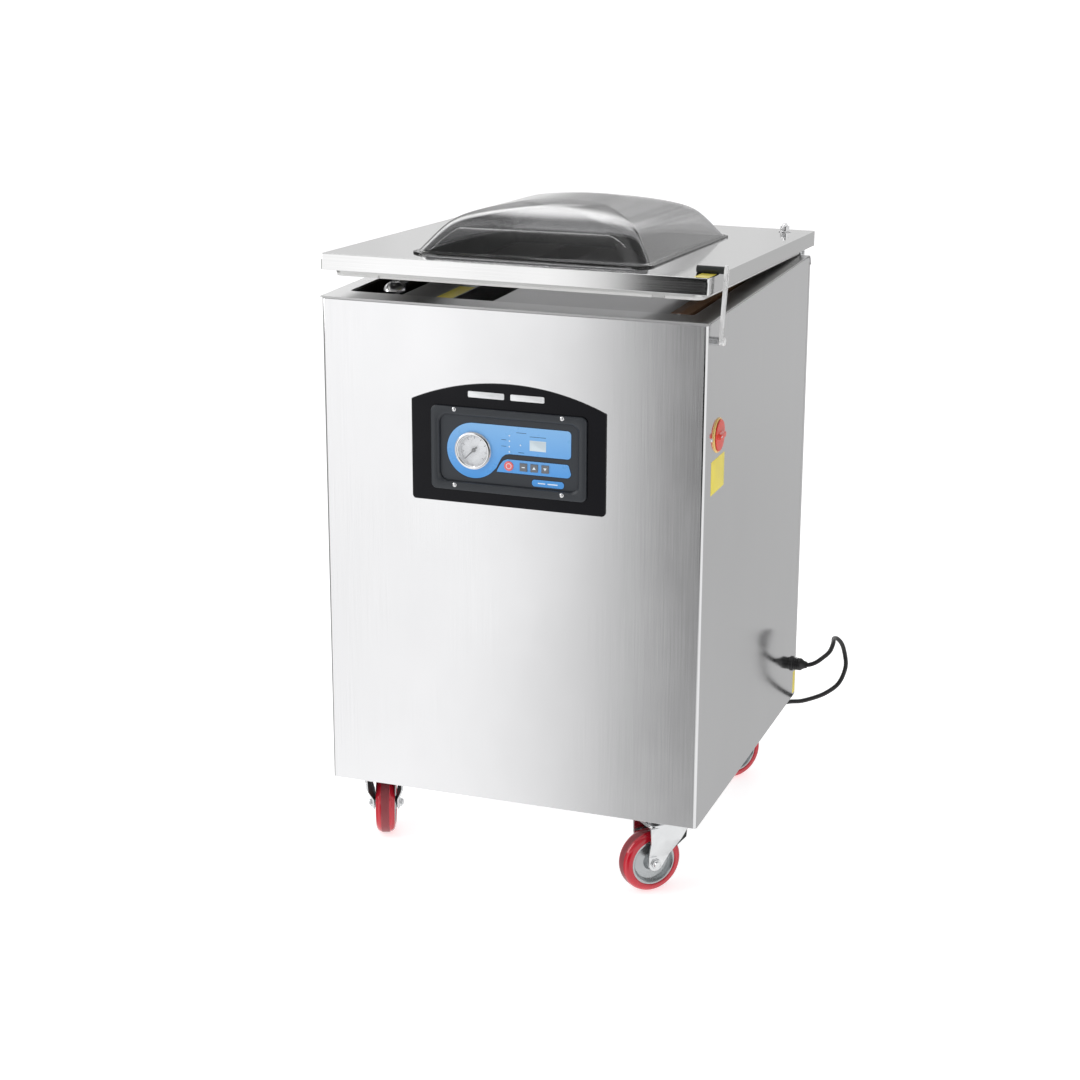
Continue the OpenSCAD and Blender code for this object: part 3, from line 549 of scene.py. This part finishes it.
def make_cord():
    """The lead: out of its relief, down behind the cabinet, and wound up on the floor."""
    route = smooth_line([Vector(p) for p in ROUTE], 4)
    tail = [Vector((COIL_MID[0], PLUG_Y, PLUG_Z)), Vector((70, PLUG_Y, PLUG_Z)),
            Vector((PLUG_X, PLUG_Y, PLUG_Z))]
    points = route + coil_line() + tail
    cord = tube_curve("mains_cord", points, CORD_R)
    finish_piece(cord, "cord_black", "cabinet")
    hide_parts("power_cord", "cord_coil")
    make_plug()


def make_tie():
    """A strap round the coil's turns."""
    a = math.radians(205)
    out = Vector((math.cos(a), math.sin(a), 0))
    along = Vector((-math.sin(a), math.cos(a), 0))
    middle = at(COIL_MID[0], COIL_MID[1], 8.4) + out * 46 * MM
    loops = []
    for w, h, r, side in ((16.2, 16.2, 4, -4), (16.8, 16.7, 4.6, -4), (16.8, 16.7, 4.6, 4),
                          (16.2, 16.2, 4, 4)):
        loops.append([middle + (out * u + Z_AXIS * v + along * side) * MM
                      for u, v in rounded(w, h, r)])
    mesh_piece("coil_tie", [loft(loops, closed=True)], "dark_pad", "cabinet")


def make_relief():
    """The lead's strain relief, with grip ribs and its clamp screw."""
    profile = [(4.3, -14), (9, -14), (9, 0), (13, 0), (13, 2.2), (12.2, 3), (11, 3)]
    for k in range(3):
        start = 4.2 + 3.6 * k
        profile += [(11, start), (10.2, start + 0.5), (10.2, start + 1.3), (11, start + 1.8)]
    profile += [(11, 15), (10.2, 17.5), (8.2, 20), (6.6, 23), (6, 26.8), (5.4, 27), (4.3, 27)]
    relief = mesh_piece("cord_relief", [lathe(profile, on_side(285, 197, 0), X_AXIS)],
                        "cord_black", "cabinet")
    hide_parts("cord_gland")
    clamp = screw(on_side(285, 207.8, 8.5), Z_AXIS, 2.4, 1.4)
    mesh_piece("relief_screw", [clamp], "chrome", "cabinet")


make_cord()
make_tie()
make_relief()


# ---- Dome ----

DOME_MID = (6, -30)
# Half the dome's width and length, its corner radius, its height and its wall
DOME_A, DOME_B, DOME_R, DOME_H, DOME_WALL = 187, 230, 29, 75.9, 5
LID_TOP = 953.2


def dome_height(d, a, h):
    """The height at a distance d in from the foot: a steep side, a soft ridge and a crown."""
    if d <= 0:
        return 0.0
    crown = h * (0.53 + 0.47 * (1 - (1 - d / a) ** 2))
    return ((1.35 * d) ** -6 + crown ** -6) ** (-1 / 6)


def dome_loop(a, b, r, z, d=0.0):
    """A level loop round the dome at height z over the lid, d in from a foot of a by b."""
    outline = rounded(2 * (a - d), 2 * (b - d), min(r + 0.25 * d, 0.9 * (a - d)), 14)
    return [on_lid(DOME_MID[0] + x, DOME_MID[1] + y, LID_TOP + z) for x, y in outline]


def dome_skin(a, b, r, h, lift=0.0):
    """Loops from the foot of the dome to the middle of its top."""
    rings, loops = 44, []
    for k in range(rings + 1):
        d = a * 0.97 * (1 - math.cos(math.pi / 2 * k / rings))
        loops.append(dome_loop(a, b, r, max(dome_height(d, a, h), lift), d))
    return loops


def make_dome():
    """A clear moulded dome with a wall, a flange and a fillet between them."""
    inner = dome_skin(DOME_A - DOME_WALL, DOME_B - DOME_WALL, DOME_R - DOME_WALL,
                      DOME_H - DOME_WALL)
    outer = dome_skin(DOME_A, DOME_B, DOME_R, DOME_H, 4.2)
    flange = [dome_loop(DOME_A + out, DOME_B + out, DOME_R + out, z)
              for out, z in ((5, 0), (5, 2.2), (4.2, 3), (1.4, 3), (0.5, 3.4))]
    mesh = [loft(inner[::-1] + flange + outer)]
    dome = mesh_piece("dome_shell", mesh, "dome_smoke", "lid", 60)
    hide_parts("dome")


def make_skirt():
    """A dark liner that closes the lid's hollow round the opening under the dome."""
    loops = [dome_loop(DOME_A - inset, DOME_B - inset, DOME_R - inset, z)
             for inset, z in ((7, -2), (6, -2), (6, -31), (7, -31), (8, -30), (8, -3))]
    mesh_piece("lid_liner", [loft(loops, closed=True)], "dark_pad", "lid")


make_dome()
make_skirt()


# ---- Lid and chamber trim ----

def top_label(name, x0, x1, y0, y1, z, body, place):
    """A plain label that lies on a level face at height z."""
    thick = 0.3
    outline = shifted(rounded(x1 - x0, y1 - y0, 1.0), (x0 + x1) / 2, (y0 + y1) / 2)
    mesh = plate(outline, lambda u, v, out: place(u, v, z + out), 0, thick, thick * 0.4)
    mesh_piece(name, [mesh], "label_yellow", body)


BAR_X, BAR_TOP, BAR_REAR = 244, 916, 196
LEFT_BAR_FRONT, RIGHT_BAR_FRONT = -162, -262


def make_bar_tape(side, x, front, material):
    """Tape over the heating wire, wrapped a little way down the bar's sides, and end screws."""
    name, bar = side + "_tape", side + "_seal_bar"
    section = [(-14.3, -9), (-14.3, 0.3), (-13, 0.6), (-4, 0.6), (-2.6, 1.1), (2.6, 1.1),
               (4, 0.6), (13, 0.6), (14.3, 0.3), (14.3, -9), (14.05, -9), (14.05, 0),
               (-14.05, 0), (-14.05, -9)]
    tape = loft([[at(x + u, y, BAR_TOP + v) for u, v in section]
                 for y in (front + 12, BAR_REAR - 12)])
    mesh_piece(name, [tape], material, bar)
    ends = [screw(at(x, y, BAR_TOP - 0.1), Z_AXIS, 3, 1.6) for y in (front + 6, BAR_REAR - 6)]
    mesh_piece(name + "_screws", ends, "zinc", bar)


make_bar_tape("right", BAR_X, RIGHT_BAR_FRONT, "tape_brown")
make_bar_tape("left", -BAR_X, LEFT_BAR_FRONT, "tape_dark")
top_label("plate_label", -144, -118, -252, -150, 914, "cabinet", at)
top_label("lid_label", 280, 302, -309, -267, LID_TOP, "lid", on_lid)


# ---- Control panel ----

# How far the overlay's face, which carries the print, stands out from the cabinet
PRINT = 2.0
GAUGE_X, GAUGE_Z = -57.5, 697.8
RING_X, RING_Z, RING_R, RING_HOLE = -57, 697.7, 43, 26.6
KEY_Z = 678.8
FRAME_Z = 699.5


def make_frame():
    """The raised frame: a chamfered ring with a rounded opening."""
    levels = ((249, 130, 9, 3.0), (249, 130, 9, 6.6), (247.6, 128.6, 8.6, 7.6),
              (245.6, 126.6, 8, 8.0), (229, 110, 13, 8.0), (226.5, 107.5, 12.5, 7.5),
              (222, 103, 12, 4.2), (222, 103, 12, 3.0))
    loops = [[on_front(u, FRAME_Z + v, out) for u, v in rounded(w, h, r, 8)]
             for w, h, r, out in levels]
    frame_piece = mesh_piece("panel_frame", [loft(loops, closed=True)], "frame_grey", "cabinet")
    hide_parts("control_frame")


def print_field(name, outline, grow, out, material):
    """A field of print, grown by its dark edge line where grow isn't 0."""
    shapes = [plate(grown(outline, grow), on_front, PRINT - 0.05, PRINT + out)]
    if name.endswith("main"):
        shapes.append(gauge_disc(grow, out))
    mesh_piece(name, shapes, material, "cabinet")


def main_field():
    """A broad bar that runs into the disc round the gauge on its left."""
    neck = [(-25, 668.9), (-20.3, 674), (-16, 682.5), (-11.5, 691), (-6, 695.8), (1, 697.4)]
    right = arc(93, 703.4, 6, -90, 0) + arc(93, 734.7, 6, 0, 90)
    return neck + right + [(RING_X, RING_Z + RING_R)] + arc(RING_X, RING_Z, 36, 90, -42, 24)


def gauge_disc(grow, out):
    """The ring of print round the gauge's opening."""
    low, top = PRINT - 0.05, PRINT + out + 0.03
    ring = [(RING_HOLE, low), (RING_R + grow, low), (RING_R + grow, top), (RING_HOLE, top)]
    return lathe(ring, on_front(RING_X, RING_Z, 0), -Y_AXIS, 96)


def key_field():
    """A lower bar behind the keys, whose left end follows the disc."""
    return ([(-19.5, 668.2)] + arc(92, 675.2, 7, -90, 0) + arc(92, 685, 4, 0, 90, 4)
            + [(-2, 689), (-8.5, 686.5), (-13.5, 680.5), (-18, 672.5)])


def make_print():
    """The overlay's coloured fields, indicator lights, display and short plain rules."""
    fields = {
        "main": main_field(),
        "keys": key_field(),
        "pill": shifted(rounded(51, 10.6, 4.6), 62.5, 656.1),
    }
    for name, outline in fields.items():
        print_field("print_line_" + name, outline, 1.1, 0.08, "print_line")
        print_field("print_blue_" + name, outline, 0.0, 0.16, "print_blue")
    dots = [(1, 726), (1, 717.6), (1, 709), (1, 701), (18.7, 712.5)]
    leds = [lathe([(0, 0), (1.2, 0), (1.0, 0.35), (0.5, 0.6), (0, 0.65)],
                  on_front(x, z, PRINT + 0.1), -Y_AXIS, 16) for x, z in dots]
    mesh_piece("indicator_lights", leds, "led_white", "cabinet")
    window = [plate(shifted(rounded(23, 13, 1.2), 46.4, 713.4), on_front, 2.2, 2.6, 0.25)]
    mesh_piece("display_face", window, "display", "cabinet")
    legend = [plate(shifted(rounded(w, 0.7, 0.3), x, z), on_front, PRINT, PRINT + 0.2)
              for x, z, w in ((46.4, 727, 26), (20, 731.5, 16), (20, 701, 9), (-8, 719, 8),
                              (-8, 709, 8))]
    mesh_piece("panel_rules", legend, "print_line", "cabinet")
    pill = [plate(shifted(rounded(w, 1.6, 0.6), x, 656.1), on_front, PRINT + 0.1, PRINT + 0.24)
            for x, w in ((52.5, 12), (70, 16))]
    mesh_piece("pill_rules", pill, "led_white", "cabinet")


def make_gauge():
    """A plated bezel, and a dial with a scale of ticks round three quarters of it."""
    bezel = [(24.1, 3.4), (28.9, 3.2), (29.1, 4.4), (28.3, 5.6), (26.5, 6.3), (25, 6.0),
             (24.1, 4.9)]
    mesh_piece("gauge_bezel", [lathe(bezel, on_front(GAUGE_X, GAUGE_Z, 0), -Y_AXIS, 72)],
               "chrome", "cabinet")
    ticks = []
    for k in range(41):
        a = math.radians(225 - 270 * k / 40)
        major = k % 5 == 0
        inner, half = (17, 0.45) if major else (19.2, 0.22)
        out = Vector((math.cos(a), math.sin(a)))
        side = Vector((-out.y, out.x)) * half
        corners = [out * 21.4 - side, out * 21.4 + side, out * inner + side, out * inner - side]
        ticks.append(plate([(GAUGE_X + c.x, GAUGE_Z + c.y) for c in corners], on_front, -3.1,
                           -2.9))
    ring = [(GAUGE_X + p[0], GAUGE_Z + p[1]) for p in arc(0, 0, 22.2, -45, 225, 48)]
    ring += [(GAUGE_X + p[0], GAUGE_Z + p[1]) for p in arc(0, 0, 21.8, 225, -45, 48)]
    ticks.append(plate(ring, on_front, -3.1, -2.9))
    mesh_piece("gauge_scale", ticks, "needle_black", "cabinet")
    hub = lathe([(0, 0), (3.4, 0), (3.4, 0.7), (2.6, 1.2), (0, 1.3)],
                on_front(GAUGE_X, GAUGE_Z, 0.1), -Y_AXIS, 32)
    mesh_piece("needle_cap", [hub], "needle_black", "gauge_needle")


def make_key_marks():
    """Generic marks on the keys: a bar, and arrows up and down."""
    out = 3.1
    up = [(-2.6, -1.9), (2.6, -1.9), (0, 2.6)]
    down = [(2.6, 1.9), (-2.6, 1.9), (0, -2.6)]
    bar = rounded(5.2, 1.5, 0.5)
    for key, x, shape in (("left_key", 23.5, bar), ("middle_key", 40.7, up),
                          ("right_key", 58.2, down)):
        mark = plate(shifted(shape, x, KEY_Z), on_front, out, out + 0.2)
        mesh_piece(key + "_mark", [mark], "led_white", key)
    ring = lathe([(3.6, 0), (4.4, 0), (4.4, 0.18), (3.6, 0.18)], on_front(0, KEY_Z, out),
                 -Y_AXIS, 40)
    mesh_piece("start_key_mark", [ring], "led_white", "start_key")


def make_badge():
    """Two plain metal bars on the arch."""
    bars = [plate(shifted(rounded(w, 9.5, 2), x, 785), on_front, 2.9, 3.7, 0.3)
            for x, w in ((-36, 58), (30, 54))]
    mesh_piece("arch_badge", bars, "badge_silver", "cabinet")


def make_frame_screws():
    """The screws in the frame's corners, with cross recesses."""
    heads = [screw(on_front(sx * 86.3, 701.5 + sz * 59, 7.9), -Y_AXIS, 3.5, 1.25)
             for sx in (-1, 1) for sz in (-1, 1)]
    piece = mesh_piece("frame_screw_heads", heads, "chrome", "cabinet")
    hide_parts("frame_screws")


make_frame()
make_print()
make_gauge()
make_key_marks()
make_badge()
make_frame_screws()


# ---- Right side ----

SWITCH_Y, SWITCH_Z = -245.4, 737


def make_switch():
    """A yellow escutcheon with a raised rim, and a red rotary handle with a tapered grip."""
    ring = [(11.2, 0), (26.5, 0), (26.5, 1.1), (25.7, 2), (23.6, 2), (23, 1.3), (11.2, 1.3)]
    ring_piece = mesh_piece("switch_ring", [lathe(ring, on_side(SWITCH_Y, SWITCH_Z, 0), X_AXIS, 64)],
                            "switch_yellow", "cabinet")
    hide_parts("switch_plate")
    disc = [(0, 2.4), (23.4, 2.4), (24, 2.8), (24, 3.5), (23.2, 4.2), (21, 4.4), (0, 4.4)]
    grip = loft([[on_side(SWITCH_Y + u, SWITCH_Z + v, out) for u, v in rounded(w, h, r)]
                 for w, h, r, out in ((34, 11, 4, 4.0), (31, 9.4, 4, 5.2), (29.5, 8.6, 3.8, 7.8),
                                      (28.4, 7.6, 3.4, 8.7), (26, 5.4, 2.4, 8.98))])
    shaft = lathe([(0, -20), (3, -20), (3, 3), (0, 3)], on_side(SWITCH_Y, SWITCH_Z, 0), X_AXIS, 24)
    knob = mesh_piece("switch_handle",
                      [lathe(disc, on_side(SWITCH_Y, SWITCH_Z, 0), X_AXIS, 64), grip, shaft],
                      "switch_red", "main_switch")
    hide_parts("switch_knob")
    mark = plate(shifted(rounded(9, 1.6, 0.6), SWITCH_Y - 9, SWITCH_Z), on_side, 8.85, 9)
    mesh_piece("switch_pointer", [mark], "led_white", "main_switch")
    heads = [screw(on_side(SWITCH_Y + dy, SWITCH_Z, 0), X_AXIS, 3, 1.7) for dy in (-34, 34)]
    mesh_piece("switch_screws", heads, "chrome", "cabinet")


def side_label(name, y0, y1, z0, z1):
    """A plain label on the right side."""
    outline = shifted(rounded(y1 - y0, z1 - z0, 1.5), (y0 + y1) / 2, (z0 + z1) / 2)
    mesh_piece(name, [plate(outline, on_side, 0, 0.25, 0.1)], "label_yellow", "cabinet")


make_switch()
side_label("side_label", -279, -207, 651, 703)
side_label("rear_edge_label", 297, 311, 136, 176)


# ---- Rear ----

def make_rear():
    """The rear panel's screws, and a plain rating plate."""
    places = [(x, z) for x in (-292, 292) for z in (150, 390, 640, 885)]
    places += [(x, z) for x in (-150, 0, 150) for z in (142, 888)]
    heads = [screw(on_rear(x, z, 0), Y_AXIS, 3.6, 2) for x, z in places]
    mesh_piece("rear_screws", heads, "zinc", "cabinet")
    rating = plate(shifted(rounded(90, 56, 3), 190, 560), on_rear, 0, 0.5, 0.2)
    mesh_piece("rating_plate", [rating], "badge_silver", "cabinet")
    rules = [plate(shifted(rounded(74, 1.2, 0.4), 190, 544 + 8 * k), on_rear, 0.4, 0.6)
             for k in range(5)]
    mesh_piece("rating_rules", rules, "print_line", "cabinet")


make_rear()


# ---- Casters ----

def rolled(name, corner, profile, axle, axis, steps, material):
    """A ring of the wheel, turned about its axle."""
    return mesh_piece(name + "_" + corner, [lathe(profile, axle, axis, steps)], material,
                      "wheel_" + corner)


def both_sides(half):
    """A profile of (radius, distance along the axle), and its mirror image."""
    return half + [(r, -h) for r, h in half[::-1]]


def make_wheel(corner, axle, axis):
    """A crowned tread with a worn band round its middle, on a dished hub."""
    tread = both_sides([(37, 14.4), (38, 15.6)] + arc(39, 5, 11, 90, 27, 8) + [(49.7, 7.2)])
    piece = rolled("tyre", corner, tread, axle, axis, 96, "tread_red")
    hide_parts("tread_" + corner)
    band = both_sides([(49.2, 7.6), (49.85, 6.6), (50, 4.5)])
    rolled("tyre_band", corner, band, axle, axis, 96, "tread_worn")
    hub = both_sides([(36.98, 14.4), (35.8, 14.9), (34.4, 14.9), (33.2, 14), (32, 9),
                      (29.5, 6.4), (21, 6), (15, 8), (13, 12.5), (12, 16.4), (11, 17), (5.1, 17)])
    piece = rolled("hub_body", corner, hub, axle, axis, 72, "hub_grey")
    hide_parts("hub_" + corner)


def make_axle_caps(corner, axle, axis):
    """The axle's domed ends, outside the fork."""
    profile = [(0, 25.8), (4.6, 25.8), (5.6, 26.6), (5.0, 28.2), (3, 29), (0, 29.2)]
    caps = [lathe(profile, axle, axis * side, 32) for side in (-1, 1)]
    mesh_piece("axle_caps_" + corner, caps, "zinc", "swivel_" + corner)


def make_fork_shade_plates(corner, ground, ahead, axis):
    """Black plates inside the fork's sides, put where the fork's hollow is only in shadow: painted shade. ground
    is the floor point under the kingpin.
    """
    # (distance from the middle, height) round a plate, and how far each point reaches ahead
    section = [(26.7, 110), (26.7, 88.9), (18.7, 62.4), (18.7, 52), (17.6, 50), (17.5, 60),
               (18, 74), (21, 90), (23.5, 110)]
    reach = [(-15, 30), (-13, 30), (14, 34), (24, 40), (26, 42), (24, 44), (12, 36), (-8, 30),
             (-14, 30)]
    shade_plates = []
    for side in (-1, 1):
        loops = []
        for share in (0, 0.5, 1):
            loops.append([ground + (ahead * (near + (far - near) * share) + axis * side * w
                                    + Z_AXIS * z) * MM
                          for (w, z), (near, far) in zip(section, reach)])
        shade_plates.append(loft(loops))
    # The black of these plates is painted shade for the fork's shadowed hollow, not a real part
    mesh_piece("fork_shade_plates_" + corner, shade_plates, "dark_pad", "swivel_" + corner)


def make_caster(corner):
    """One caster's finer pieces, placed by its swivel and wheel joints."""
    roll, turn = joint("wheel_" + corner + "_roll"), joint("swivel_" + corner + "_turn")
    axle, axis = Vector(roll["pos_m"]), Vector(roll["axis"])
    ground = Vector((*turn["pos_m"][:2], 0))
    ahead = (Vector((axle.x, axle.y, 0)) - ground).normalized()
    make_wheel(corner, axle, axis)
    make_axle_caps(corner, axle, axis)
    # Black plates inside the fork: painted shade for its shadowed hollow
    make_fork_shade_plates(corner, ground, ahead, axis)
    seal = [(30.1, 118.4), (32.6, 118.4), (33, 120), (32.4, 122.4), (30.1, 123)]
    mesh_piece("swivel_seal_" + corner, [lathe(seal, ground, Z_AXIS, 48)], "dark_pad", "cabinet")


for corner in ("front_right", "front_left", "rear_right", "rear_left"):
    make_caster(corner)


# ---- Stage ----

class Studio:
    """A world whose shade depends on direction, with short calls for its nodes."""

    def __init__(self):
        world = bpy.data.worlds.new("studio")
        bpy.context.scene.world = world
        world.use_nodes = True
        self.tree = world.node_tree
        self.where = self.tree.nodes.new("ShaderNodeTexCoord").outputs["Generated"]
        split = self.tree.nodes.new("ShaderNodeSeparateXYZ")
        self.tree.links.new(self.where, split.inputs["Vector"])
        self.along = split.outputs

    def step(self, axis, start, end):
        """Rises smoothly from 0 at start to 1 at end along one axis of the direction."""
        node = self.tree.nodes.new("ShaderNodeMapRange")
        node.interpolation_type = "SMOOTHSTEP"
        node.inputs["From Min"].default_value = start
        node.inputs["From Max"].default_value = end
        self.tree.links.new(self.along[axis], node.inputs["Value"])
        return node.outputs["Result"]

    def product(self, *values):
        total = values[0]
        for value in values[1:]:
            node = self.tree.nodes.new("ShaderNodeMath")
            node.operation = "MULTIPLY"
            self.tree.links.new(total, node.inputs[0])
            self.tree.links.new(value, node.inputs[1])
            total = node.outputs["Value"]
        return total

    def region(self, *edges):
        """1 inside all the edges, each an axis, a start and an end."""
        return self.product(*(self.step(*edge) for edge in edges))

    def toned(self, shade, amount, level):
        """Brings shade to level where amount is 1."""
        node = self.tree.nodes.new("ShaderNodeMix")
        node.data_type = "RGBA"
        self.tree.links.new(amount, node.inputs["Factor"])
        if isinstance(shade, float):
            node.inputs["A"].default_value = (shade, shade, shade, 1)
        else:
            self.tree.links.new(shade, node.inputs["A"])
        node.inputs["B"].default_value = (level, level, level, 1)
        return node.outputs["Result"]

    def clouds(self, scale, low, high):
        """Soft noise between low and high."""
        stretch = self.tree.nodes.new("ShaderNodeMapping")
        stretch.inputs["Scale"].default_value = scale
        self.tree.links.new(self.where, stretch.inputs["Vector"])
        cloud = self.tree.nodes.new("ShaderNodeTexNoise")
        cloud.inputs["Scale"].default_value = 1.0
        cloud.inputs["Detail"].default_value = 1.0
        self.tree.links.new(stretch.outputs["Vector"], cloud.inputs["Vector"])
        uneven = self.tree.nodes.new("ShaderNodeMapRange")
        for socket, value in (("From Min", 0.3), ("From Max", 0.7), ("To Min", low),
                              ("To Max", high)):
            uneven.inputs[socket].default_value = value
        self.tree.links.new(cloud.outputs["Fac"], uneven.inputs["Value"])
        return uneven.outputs["Result"]


def studio_world():
    """A white studio whose brighter and darker parts are seen in the metal and the dome."""
    studio = Studio()
    # Each region has a level and soft edges along the direction's axes. Later ones cover earlier
    regions = {
        "bright_left": (1.18, ("X", -0.27, -0.33), ("Y", -0.5, -0.8)),
        "dim_cove": (0.35, ("Z", 0.34, 0.46), ("Z", 0.96, 0.86)),
        "pale_rear": (0.70, ("X", 0.15, -0.05), ("Y", 0.3, 0.6), ("Z", -0.05, 0.05),
                      ("Z", 0.42, 0.34)),
        "rear_glow": (2.6, ("Z", 0.24, 0.36), ("Z", 0.66, 0.44), ("Y", 0.35, 0.6),
                      ("X", 0.15, -0.1)),
        "grey_wall": (0.52, ("X", -0.1, 0.12), ("Y", 0.1, 0.5), ("Z", 0.25, -0.05)),
        "left_wall": (0.3, ("X", -0.62, -0.85), ("Z", 0.5, 0.2)),
        "flag": (0.02, ("X", -0.33, -0.255), ("X", 0.5, 0.2), ("Y", 0.0, -0.5),
                 ("Z", -0.8, -0.1), ("Z", 0.3, 0.1)),
        "low_flag": (0.0, ("X", -0.305, -0.285), ("X", 0.5, 0.2), ("Y", 0.0, -0.5),
                     ("Z", -0.18, -0.12), ("Z", 0.3, 0.1)),
    }
    shade = 1.0
    for level, *edges in regions.values():
        shade = studio.toned(shade, studio.region(*edges), level)
    back = studio.tree.nodes["Background"]
    uneven = studio.clouds((22, 6, 5), 0.86, 1.06)
    studio.tree.links.new(studio.product(shade, uneven), back.inputs["Color"])
    back.inputs["Strength"].default_value = 1.0


def make_stage():
    """A plain pale floor and soft studio light."""
    bpy.ops.mesh.primitive_plane_add(size=60, location=(0, 0, 0))
    floor = bpy.context.object
    floor.name = "floor"
    floor.visible_glossy = False
    n = Surface("floor", Roughness=0.9, Emission_Strength=0.6)
    n.shader.inputs["Emission Color"].default_value = (1, 1, 1, 1)
    n.set("Base Color", n.tint(n.noise((3, 3, 3)), (0.9, 0.9, 0.9), (0.93, 0.93, 0.93)))
    floor.data.materials.append(n.material)
    studio_world()
    bpy.context.scene.view_settings.view_transform = "Standard"


def add_softbox(name, place, target, size, power):
    """A rectangular light at place that faces target, both in mm."""
    light = bpy.data.lights.new(name, "AREA")
    light.shape = "RECTANGLE"
    light.size, light.size_y = size
    light.energy = power
    o = new_object(name, light)
    o.location = at(*place)
    o.rotation_euler = (at(*target) - o.location).to_track_quat("-Z", "Y").to_euler()


make_stage()
add_softbox("top_light", (-750, -340, 3200), (0, -200, 1000), (0.12, 2.6), 4.5)
add_softbox("left_light", (-2600, -1800, 2200), (0, 0, 500), (1.8, 2.4), 40)
